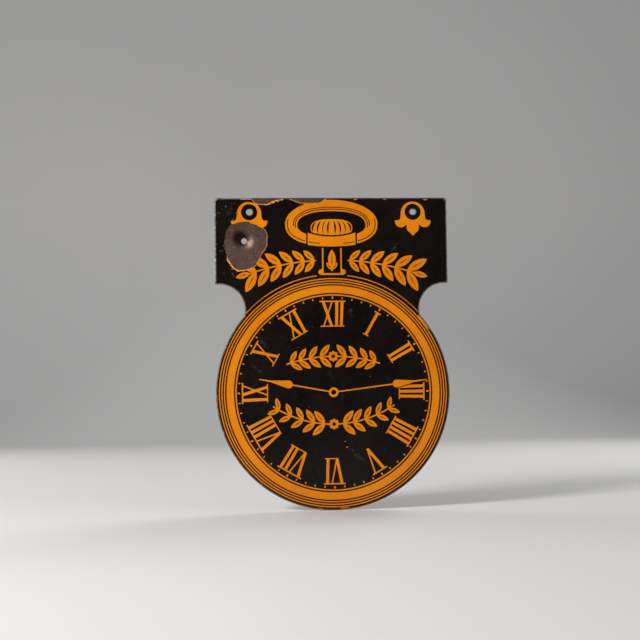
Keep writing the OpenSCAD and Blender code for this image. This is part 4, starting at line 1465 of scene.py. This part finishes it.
@dataclass
class GroundCoat:
    """First coat: a skin over both faces, the rim and the hole walls, open where it broke.

    How rusty the case's rim is, and how pale from rubbing and a painted highlight, goes by the
    angle about the dial's centre. Wear elsewhere is rust and paleness, the paleness partly a
    painted highlight, and a pair of one of them is for the left and the right.
    """

    plate: Plate
    round_r: float = 0.3
    thick: float = 0.12
    wall_r: float = 4.1
    wall_rust: float = 0.7
    wall_slope: float = 1.2
    # Paleness of the left and right hole walls: rubbing and a painted highlight on each wall's right
    # side.
    wall_rub_and_highlight: Span = (1.0, 0.55)
    band: float = 1.8
    band_rust: Span = (0.1, 0.45)
    band_rub_and_highlight: Span = (0.56, 0.05)
    side_rub_and_highlight: Span = (0.72, 0.34)
    left_x: float = -60.0
    chip_rust: float = 0.2
    chip_full: float = 4.0
    case_top: float = 100.0
    notch_top: float = 110.0
    notch_wear: Point = (0.35, 0.4)
    torn_wear: Point = (0.7, 0.0)
    # Rust and paleness of the front patch's broken edge on its right, whose paleness is a painted
    # highlight.
    painted_highlight_wear: Point = (0.35, 0.9)
    painted_highlight_x: float = -69.0
    painted_highlight_z: Span = (136.0, 164.0)
    # Paleness of the case's rim by angle: rubbing and a painted highlight, strongest on the left.
    case_rub_and_highlight: Knots = ((0, 0.28), (40, 0.45), (90, 0.5), (140, 0.7), (180, 0.78), (210, 0.66),
                        (240, 0.5), (270, 0.42), (300, 0.3), (330, 0.18), (360, 0.28))
    case_rust: Knots = ((0, 0.5), (30, 0.75), (90, 0.7), (140, 0.68), (180, 0.66), (210, 0.85),
                        (240, 0.8), (265, 1.0), (305, 1.0), (330, 0.85), (350, 0.5), (360, 0.5))

    def broken(self, wear: Wear) -> list[Loop]:
        """Edges of the breaks on one face, in the front's drawing, as holes of the skin.

        Args:
            wear: The wear of that face.

        Returns:
            Clockwise loops.
        """
        loops = [wear.spall.loop(Coat.GROUND), *wear.chip_loops(Coat.GROUND)]
        if wear.face is Face.FRONT:
            return [loop[::-1] for loop in loops]
        return [[(-x, y) for x, y in loop] for loop in loops]

    def mesh(self) -> bpy.types.Mesh:
        """The skin as one closed shell.

        Returns:
            A closed mesh that keeps how rusty each point is and how pale from rubbing and painted
            highlight.
        """
        solid = Solid()
        r, top = self.round_r, Coat.GROUND.top
        arc = [(r * (1 - math.sin(a)), top - r + r * math.cos(a))
               for a in (math.pi / 6, math.pi / 3, math.pi / 2)]
        base = [self.plate.outline, *self.plate.holes(HOLE_R)]
        skip = sum(len(loop) for loop in base)
        outer, inner = {}, {}
        for wear in (FRONT_WEAR, BACK_WEAR):
            side = wear.face.value
            breaks = self.broken(wear)
            spread = [inset(loop, -0.07) for loop in breaks]

            def row(depth: float, level: float, more: Sequence[Loop] = ()) -> int:
                """Adds this side's base loops, drawn in by a depth, and more loops."""
                drawn = [inset(loop, depth) for loop in base]
                return solid.points([*drawn, *more], side * level, Face.FRONT)

            tris = filled([inset(loop, r) for loop in base] + breaks)
            rows = [row(depth, level) for depth, level in arc]
            cap = row(r, top, breaks)
            solid.cap(tris, cap, turned=side < 0)
            under = row(2 * self.thick, SHEET, spread)
            solid.cap(tris, under, turned=side > 0)
            lining = row(self.thick, SHEET - self.thick)
            outer[side], inner[side] = [cap, *rows], [under, lining]
            low, high = (under, cap) if side > 0 else (cap, under)
            solid.walls(breaks, low + skip, high + skip)
        for rows, way in ((outer, 1), (inner, -1)):
            chain = rows[1] + rows[-1][::-1]
            for pair in zip(chain, chain[1:]):
                high, low = pair[::way]
                solid.walls(base, low, high)
        made = solid.mesh("ground_coat_skin")
        faces = [Face.FRONT if v.co.y < 0 else Face.BACK for v in made.vertices]
        age = [self.wear_at(*face.drawn(v.co), face) for v, face in zip(made.vertices, faces)]
        for name, values in zip(("rust", "pale"), zip(*age)):
            noted(made, name, values)
        return made

    def wear_at(self, x: float, z: float, face: Face) -> Point:
        """How rusty the skin is at a place of a face's drawing, and how pale from rubbing and painted
        highlight.

        Args:
            x: Millimetres to the right of the dial's centre.
            z: Millimetres above it.
            face: The face that is drawn.

        Returns:
            Rust and paleness, the paleness from rubbing and painted highlight, each between 0 and 1.
        """
        # Hole walls: the right side of each wall gets a painted highlight with some rubbing, the left
        # side rust.
        for s, most in zip((-1, 1), self.wall_rub_and_highlight):
            d = math.hypot(x - s * HOLE_X, z - ROW_Z)
            if d < self.wall_r:
                across = (x - s * HOLE_X) / d
                rust = self.wall_rust - self.wall_slope * across
                return max(0.0, rust), max(0.0, across) ** 1.5 * most
        turn = math.degrees(math.atan2(z, x)) % 360
        if z < self.case_top and math.hypot(x, z) > RIM:
            return between(self.case_rust, turn), between(self.case_rub_and_highlight, turn)
        top = z > TOP_Z - self.band
        if abs(x) > RIM or top:
            chips = (FRONT_WEAR if face is Face.FRONT else BACK_WEAR).chips
            chipped = max((between(chip.ground, x) for chip in chips if chip.ground), default=0)
            rust = self.band_rust[1 if top and x > 0 else 0]
            rust += self.chip_rust * min(chipped, self.chip_full) * top
            # Edges are paler on the left: rubbing and a painted highlight.
            left, right = self.band_rub_and_highlight if top else self.side_rub_and_highlight
            return min(rust, 1.0), left if x < self.left_x else right
        if z < self.notch_top:
            return self.notch_wear
        # On the front, the patch's broken edge on its right gets a painted highlight.
        low, high = self.painted_highlight_z
        painted_highlight = face is Face.FRONT and x > self.painted_highlight_x and low < z < high
        return self.painted_highlight_wear if painted_highlight else self.torn_wear

    def build(self, finish: bpy.types.Material) -> None:
        """Makes the skin and sets it in the sign."""
        settled("ground_coat_skin", self.mesh(), finish, "ground_coat")


@dataclass
class OrangeCoat:
    """Whole-face orange coat of one face, ragged along the rim and where it broke."""

    plate: Plate
    wear: Wear
    rim: float = 1.34
    top_corner: float = 3.5
    hole_r: float = 3.86

    def build(self, finish: bpy.types.Material) -> None:
        """Makes the coat and sets it in the sign.

        Args:
            finish: Finish of the orange glass.
        """
        face = self.wear.face
        edge = self.plate.drawn_in(face, self.rim, 0.05, 40 + face.value, self.top_corner)
        clear = [swollen(ring_loop(s * HOLE_X, ROW_Z, 1, 72), (s * HOLE_X, ROW_Z),
                         lambda x, y: self.hole_r + 0.08 * ripple(x, y, 0.5, 44)) for s in (-1, 1)]
        gone = [self.wear.spall.loop(Coat.ORANGE), *clear, *self.wear.chip_loops(Coat.ORANGE)]
        loops = carved([edge], gone, lambda p: within(p, [edge]) & ~taken(p, gone))
        glazed(f"{face.word}_orange_coat", loops, face, Coat.ORANGE, finish)


@dataclass
class BlackCoat:
    """Black islands of one face that are read from the CAD and get a stencil's edges."""

    plate: Plate
    wear: Wear
    rim: float = 1.18
    facet: float = 0.95
    corner: float = 0.22
    stray: float = 0.05

    def islands(self, node: str) -> list[Loop]:
        """Outlines of a node's islands without facets, and with softened corners.

        Args:
            node: The CAD node.

        Returns:
            Loops in the face's drawing.
        """
        face = self.wear.face
        made = [softened(rounded(loop, self.facet), self.corner)
                for loop in node_loops(node, face, Coat.BLACK.top)]
        return [unsteady(loop, self.stray, 1.7, 50 + face.value) for loop in made]

    def field(self, finish: bpy.types.Material) -> None:
        """Makes the panel's black, which the shot, the chips and the rubbing have broken.

        Args:
            finish: Finish of the black glass.
        """
        wear = self.wear
        node = f"{wear.face.word}_black_field"
        loops = self.islands(node)
        gone = [wear.spall.loop(Coat.BLACK), *wear.chip_loops(Coat.BLACK), *wear.rub_loops()]
        edge = self.plate.drawn_in(wear.face, self.rim)
        parts = carved(loops, [*gone, edge], lambda p: within(wear.probe(p), loops)
                       & within(p, [edge]) & ~taken(p, gone))
        glazed(node, parts, wear.face, Coat.BLACK, finish)

    def plain(self, part: str, finish: bpy.types.Material) -> None:
        """Makes one of the whole parts, such as the dial, with its pricks where it has any.

        Args:
            part: The node's name without its face.
            finish: Its finish.
        """
        node = f"{self.wear.face.word}_{part}"
        loops = self.islands(node)
        if part == "dial_field":
            loops += [swollen(ring_loop(x, y, r, 16, True), (x, y),
                              lambda p, q: 1 + 0.3 * ripple(p, q, 0.4, 60))
                      for x, y, r in self.wear.pricks]
        glazed(node, loops, self.wear.face, Coat.BLACK, finish)


class Tree(Graph):
    """Geometry tree with named inputs that turns a mesh into a plain finished mesh."""

    inputs: dict[str, str] = {}

    def __init__(self) -> None:
        """Makes the tree, its inputs and its nodes."""
        super().__init__(bpy.data.node_groups.new(type(self).__name__, "GeometryNodeTree"))
        face = self.tree.interface
        for way in ("OUTPUT", "INPUT"):
            face.new_socket("Geometry", in_out=way, socket_type="NodeSocketGeometry")
        for name, kind in self.inputs.items():
            face.new_socket(name, in_out="INPUT", socket_type=f"NodeSocket{kind}")
        self.given = self.add("NodeGroupInput", {}, {})
        made = self.add("GeometryNodeRealizeInstances", {}, {0: self.grow()})
        made = self.add("GeometryNodeSetMaterial", {}, {0: made, "Material": self.get("Finish")})
        self.add("NodeGroupOutput", {}, {0: made})

    def get(self, name: str) -> Sock:
        """Named input of the tree."""
        return self.given.beside(name)

    def vector(self, x: Any = 0.0, y: Any = 0.0, z: Any = 0.0) -> Sock:
        """Vector of three values."""
        return self.add("ShaderNodeCombineXYZ", {}, {0: x, 1: y, 2: z})

    def noted(self, name: str) -> Sock:
        """Number that each point keeps under a name."""
        return self.add("GeometryNodeInputNamedAttribute", {"data_type": "FLOAT"}, {"Name": name})

    def shift(self, shape: Sock, offset: Sock) -> Sock:
        """Shape whose points are each moved by an offset."""
        return self.add("GeometryNodeSetPosition", {}, {"Geometry": shape, "Offset": offset})

    def grow(self) -> Sock:
        """Adds the nodes that make the shape and returns it; each tree has its own."""
        raise NotImplementedError

    def run(self, name: str, mesh: bpy.types.Mesh, values: dict[str, Any]) -> bpy.types.Mesh:
        """Runs the tree on a mesh.

        Args:
            name: Name of the result.
            mesh: What goes in.
            values: Values of the named inputs.

        Returns:
            The result as a plain mesh whose faces point outwards.
        """
        carrier = linked(name, mesh)
        modifier = carrier.modifiers.new("tree", "NODES")
        modifier.node_group = self.tree
        for item in self.tree.interface.items_tree:
            if item.item_type == "SOCKET" and item.in_out == "INPUT" and item.name in values:
                modifier[item.identifier] = values[item.name]
        graph = bpy.context.evaluated_depsgraph_get()
        made = bpy.data.meshes.new_from_object(carrier.evaluated_get(graph))
        carrier.modifiers.remove(modifier)
        bpy.data.objects.remove(carrier)
        made.name = name
        bm = bmesh.new()
        bm.from_mesh(made)
        if bm.calc_volume(signed=True) < 0:
            bmesh.ops.reverse_faces(bm, faces=bm.faces)
            bm.to_mesh(made)
        bm.free()
        return made

    def upright(self, shape: Sock, place: Sock) -> Sock:
        """Moves a drawn shape to its place and stands it up on its face of the sign.

        Args:
            shape: The shape, drawn flat.
            place: Where its origin goes in the drawing.

        Returns:
            The shape in the sign's frame.
        """
        kind = "GeometryNodeTransform"
        placed = self.add(kind, {}, {0: shape, "Translation": place})
        flat = self.add(kind, {}, {0: placed, "Rotation": (math.pi / 2, 0.0, 0.0)})
        return self.add(kind, {}, {0: flat, "Translation": (0.0, 0.0, -ROW_Z * MM),
                                   "Rotation": self.vector(z=self.get("Half Turn"))})


class PitTree(Tree):
    """Sinks bare steel into pits of noise, along its own normals."""

    inputs = {"Pit Depth": "Float", "Pit Size": "Float", "Seed": "Float", "Finish": "Material"}

    def grow(self) -> Sock:
        """Moves each point in by two layers of noise and its share of bareness.

        Returns:
            The pitted mesh.
        """
        where = self.add("GeometryNodeInputPosition", {}, {})
        seeded = where / self.get("Pit Size") + self.get("Seed") * 3.7
        coarse, fine = (self.add("ShaderNodeTexNoise", {}, {"Vector": seeded, "Scale": scale,
                                                            "Detail": detail})
                        for scale, detail in ((0.45, 3.0), (1.6, 2.0)))
        pits = (coarse - 0.5) * 0.8 + fine.rise(0.45, 0.75) * 0.8
        depth = pits * self.noted("bare") * self.get("Pit Depth")
        out = self.add("GeometryNodeInputNormal", {}, {})
        offset = self.add("ShaderNodeVectorMath", {"operation": "SCALE"}, {0: out, "Scale": -depth})
        return self.shift(self.get("Geometry"), offset)


class RingTree(Tree):
    """Draws concentric rings of enamel, with a hand's small wobble."""

    inputs = {"Rings": "Int", "First Radius": "Float", "Pitch": "Float", "Line Width": "Float",
              "Thickness": "Float", "Edge Round": "Float", "Level": "Float", "Wobble": "Float",
              "Seed": "Float", "Half Turn": "Float", "Centre": "Vector", "Finish": "Material"}

    def grow(self) -> Sock:
        """Sets circles on points, gives them a rounded strip's section and stands them up.

        Returns:
            The rings on their face.
        """
        points = self.add("GeometryNodeMeshLine", {}, {"Count": self.get("Rings"),
                                                       "Offset": (0.0, 0.0, 0.0)})
        circle = self.add("GeometryNodeCurvePrimitiveCircle", {}, {"Resolution": 360, "Radius": 1.0})
        index = self.add("GeometryNodeInputIndex", {}, {})
        radius = self.get("First Radius") - index * self.get("Pitch")
        rings = self.add("GeometryNodeInstanceOnPoints", {},
                         {"Points": points, "Instance": circle,
                          "Scale": self.vector(radius, radius, 1.0)})
        rings = self.add("GeometryNodeRealizeInstances", {}, {0: rings})
        where = self.add("GeometryNodeInputPosition", {}, {})
        stray = self.add("ShaderNodeTexNoise", {}, {"Vector": where + self.get("Seed"), "Scale": 190.0},
                         "Color")
        rings = self.shift(rings, (stray - 0.5) * self.get("Wobble") * (1.0, 1.0, 0.0))
        width, thick = self.get("Line Width"), self.get("Thickness")
        strip = self.add("GeometryNodeCurvePrimitiveQuadrilateral", {"mode": "TRAPEZOID"},
                         {"Height": thick, "Bottom Width": width, "Offset": 0.0,
                          "Top Width": width - self.get("Edge Round") * 2.0})
        solid = self.add("GeometryNodeCurveToMesh", {}, {"Curve": rings, "Profile Curve": strip})
        solid = self.add("GeometryNodeSetShadeSmooth", {}, {0: solid, "Shade Smooth": False})
        lift = self.vector(z=self.get("Level") + thick / 2)
        return self.upright(solid, lift + self.get("Centre"))


class VeinTree(Tree):
    """Sets one slim vein on each point, turned and stretched to its leaf."""

    inputs = {"Vein Width": "Float", "Thickness": "Float", "Edge Round": "Float", "Level": "Float",
              "Half Turn": "Float", "Finish": "Material"}

    def grow(self) -> Sock:
        """Makes a kite with a bevelled top, instances it and stands the veins up.

        Returns:
            The veins on their face.
        """
        width = self.get("Vein Width")
        kite = self.add("GeometryNodeCurvePrimitiveQuadrilateral", {"mode": "KITE"},
                        {"Width": width, "Bottom Height": VEIN_FOOT, "Top Height": 1 - VEIN_FOOT})
        leaf = self.add("GeometryNodeFillCurve", {}, {0: kite})
        raised = self.add("GeometryNodeExtrudeMesh", {},
                          {"Mesh": leaf, "Individual": False, "Offset": (0.0, 0.0, 1.0),
                           "Offset Scale": self.get("Thickness")})
        share = 1.0 - self.get("Edge Round") / width
        raised = self.add("GeometryNodeScaleElements", {},
                          {0: raised, "Selection": raised.beside("Top"), "Scale": share})
        under = self.add("GeometryNodeFlipFaces", {}, {0: leaf})
        whole = self.add("GeometryNodeJoinGeometry", {}, {0: [raised, under]})
        vein = self.add("GeometryNodeMergeByDistance", {}, {0: whole, "Distance": 1e-7})
        veins = self.add("GeometryNodeInstanceOnPoints", {}, {
            "Points": self.get("Geometry"), "Instance": vein,
            "Rotation": self.vector(z=self.noted("turn") - math.pi / 2),
            "Scale": self.vector(1.0, self.noted("length"), 1.0)})
        veins = self.add("GeometryNodeRealizeInstances", {}, {0: veins})
        return self.upright(veins, self.vector(z=self.get("Level")))


@dataclass
class LineWork:
    """Rings, discs and veins of one face, which repeat and are grown by geometry trees."""

    face: Face
    wobble: float = 0.16
    vein_w: float = 0.8

    def grown(self, part: str, tree: Tree, carrier: bpy.types.Mesh, finish: bpy.types.Material,
              values: dict[str, Any]) -> bpy.types.Mesh:
        """Runs a tree with the inputs that all line work of the black coat has.

        Args:
            part: The node's name without its face.
            tree: The tree.
            carrier: The mesh that goes in.
            finish: The finish.
            values: Further inputs.

        Returns:
            The line work as a plain mesh.
        """
        coat = Coat.BLACK
        return tree.run(f"{self.face.word}_{part}_glaze", carrier, {
            "Thickness": (coat.top - coat.under) * MM, "Edge Round": SOFT * MM, "Finish": finish,
            "Level": coat.under * MM, "Half Turn": self.face.half_turn, **values})

    def rings(self, part: str, first: float, width: float, finish: bpy.types.Material,
              count: int = 1, pitch: float = 0.0, centre: Point = (0.0, 0.0)) -> None:
        """Makes concentric rings and sets them in the sign.

        Args:
            part: The node's name without its face.
            first: Radius of the middle of the outer ring.
            width: Width of a ring.
            finish: Their finish.
            count: How many rings there are.
            pitch: Step from one ring to the next.
            centre: Their centre in the face's drawing.
        """
        node = f"{self.face.word}_{part}"
        mesh = self.grown(part, RingTree(), bpy.data.meshes.new(node), finish, {
            "Rings": count, "First Radius": first * MM, "Pitch": pitch * MM, "Line Width": width * MM,
            "Wobble": self.wobble * MM, "Seed": 0.37 * len(part),
            "Centre": (centre[0] * MM, centre[1] * MM, 0.0)})
        settled(f"{node}_glaze", mesh, finish, node)

    def veins(self, finish: bpy.types.Material) -> None:
        """Makes the leaves' veins and the rosettes' hearts and sets them in the sign.

        Args:
            finish: Their finish.
        """
        part = "leaf_veins"
        node = f"{self.face.word}_{part}"
        loops = node_loops(node, self.face, Coat.BLACK.top)
        turns, lengths, spots = [], [], []
        for loop in loops:
            if len(loop) != 4:
                continue
            far = max(range(4), key=lambda i: math.dist(loop[i], loop[(i + 2) % 4]))
            a, b, side = loop[far], loop[(far + 2) % 4], loop[(far + 1) % 4]
            if math.dist(a, side) > math.dist(b, side):
                a, b = b, a
            x, y = ((1 - VEIN_FOOT) * p + VEIN_FOOT * q for p, q in zip(a, b))
            spots.append((x * MM, y * MM, 0.0))
            turns.append(math.atan2(b[1] - a[1], b[0] - a[0]))
            lengths.append(math.dist(a, b) * MM)
        carrier = bpy.data.meshes.new(node)
        carrier.from_pydata(spots, [], [])
        noted(carrier, "turn", turns)
        noted(carrier, "length", lengths)
        mesh = self.grown(part, VeinTree(), carrier, finish, {"Vein Width": self.vein_w * MM})
        hearts = [softened(rounded(loop, 0.6), 0.1) for loop in loops if len(loop) != 4]
        if hearts:
            bm = bmesh.new()
            bm.from_mesh(mesh)
            bm.from_mesh(coat_mesh(f"{node}_hearts", hearts, self.face, Coat.BLACK))
            bm.to_mesh(mesh)
            bm.free()
        settled(f"{node}_glaze", mesh, finish, node)


@dataclass
class Stage:
    """Pale floor with a sweep behind it, soft lamps, and the camera of the picture.

    Each lamp has its name, place, power and size. All lengths but the lens are in metres.
    """

    floor_z: float = -0.2908
    near: float = -0.85
    far: float = 1.5
    bend: float = 0.6
    wide: float = 4.0
    tall: float = 3.0
    eye: Place = (-0.1172, -1.2792, -0.1685)
    yaw: float = 4.686
    pitch: float = 2.791
    roll: float = -0.749
    lens: float = 74.0
    aim: Place = (0.0, 0.0, -0.14)
    lamps: tuple[tuple[str, Place, float, float], ...] = (
        ("key", (-1.15, -0.95, 0.62), 26.0, 0.45), ("fill", (1.3, -0.9, 0.15), 4.0, 0.9),
        ("back_left", (-1.1, 0.9, 0.3), 6.0, 0.8), ("back_right", (0.9, 1.0, 0.7), 9.0, 0.8))
    glow: Tone = (0.95, 0.97, 1.0)
    glow_strength: float = 0.16

    def floor(self) -> None:
        """Makes the floor and its sweep."""
        turns = [math.pi / 2 * i / 16 for i in range(1, 17)]
        bend = [(self.far + self.bend * math.sin(a), self.bend * (1 - math.cos(a))) for a in turns]
        line = [(self.near, 0.0), (self.far, 0.0), *bend, (self.far + self.bend, self.tall)]
        verts = [(s * self.wide, y, self.floor_z + z) for y, z in line for s in (-1, 1)]
        faces = [(2 * i, 2 * i + 1, 2 * i + 3, 2 * i + 2) for i in range(len(line) - 1)]
        mesh = bpy.data.meshes.new("floor")
        mesh.from_pydata(verts, [], faces)
        mesh.polygons.foreach_set("use_smooth", [True] * len(faces))
        mesh.materials.append(Studio().material())
        linked("floor", mesh)

    def camera(self) -> None:
        """Makes the camera at the picture's place, turned as the picture was."""
        yaw, pitch, roll = (math.radians(v) for v in (self.yaw, self.pitch, self.roll))
        ahead = Vector((math.sin(yaw) * math.cos(pitch), math.cos(yaw) * math.cos(pitch),
                        math.sin(pitch)))
        right = Vector((math.cos(yaw), -math.sin(yaw), 0))
        up = right.cross(ahead)
        side = math.cos(roll) * right + math.sin(roll) * up
        top = math.cos(roll) * up - math.sin(roll) * right
        data = bpy.data.cameras.new("camera")
        data.lens = self.lens
        data.sensor_width = 36
        camera = linked("camera", data)
        turned = Matrix((side, top, -ahead)).transposed().to_4x4()
        camera.matrix_world = Matrix.Translation(self.eye) @ turned
        bpy.context.scene.camera = camera

    def light(self) -> None:
        """Sets the soft square lamps, which face the sign, and the even light of the room."""
        for name, place, power, size in self.lamps:
            data = bpy.data.lights.new(name, "AREA")
            data.energy = power
            data.size = size
            lamp = linked(name, data)
            lamp.location = place
            lamp.rotation_euler = (Vector(self.aim) - Vector(place)).to_track_quat("-Z", "Y").to_euler()
        world = bpy.data.worlds.new("room")
        world.use_nodes = True
        bpy.context.scene.world = world
        world.node_tree.nodes.clear()
        g = Graph(world.node_tree)
        glow = g.add("ShaderNodeBackground", {}, {"Color": self.glow, "Strength": self.glow_strength})
        g.add("ShaderNodeOutputWorld", {}, {0: glow})

    def build(self) -> None:
        """Sets the whole stage."""
        self.camera()
        self.floor()
        self.light()
        bpy.context.scene.view_settings.view_transform = "Standard"


def main() -> None:
    """Builds the stage and every piece of the sign, and reports them."""
    logging.basicConfig(level=logging.INFO, format="%(name)s: %(message)s")
    Stage().build()
    plate = Plate()
    black = BlackEnamel().material()
    line = BlackEnamel(name="thin_black_enamel", rough=0.2, shine=0.24,
                       deep=(0.007, 0.0042, 0.003), thin=(0.019, 0.0088, 0.0042)).material()
    orange = OrangeEnamel().material()
    SteelBlank(plate).build(BareSteel().material())
    GroundCoat(plate).build(GroundEnamel().material())
    for wear in (FRONT_WEAR, BACK_WEAR):
        OrangeCoat(plate, wear).build(orange)
        coat = BlackCoat(plate, wear)
        coat.field(black)
        for part in ("dial_field", "dial_counters", "hub_dot", "crown_flutes"):
            coat.plain(part, black)
        coat.plain("bow_lines", line)
        work = LineWork(wear.face)
        work.rings("case_lines", first=109.775, width=1.25, finish=line, count=3, pitch=2.45)
        work.rings("chapter_line", first=96.35, width=1.3, finish=line)
        for word, s in (("left", -1), ("right", 1)):
            work.rings(f"{word}_hole_disc", first=5.85, width=4.1, finish=black,
                       centre=(s * HOLE_X, ROW_Z))
        work.veins(line)


if __name__ == "__main__":
    main()
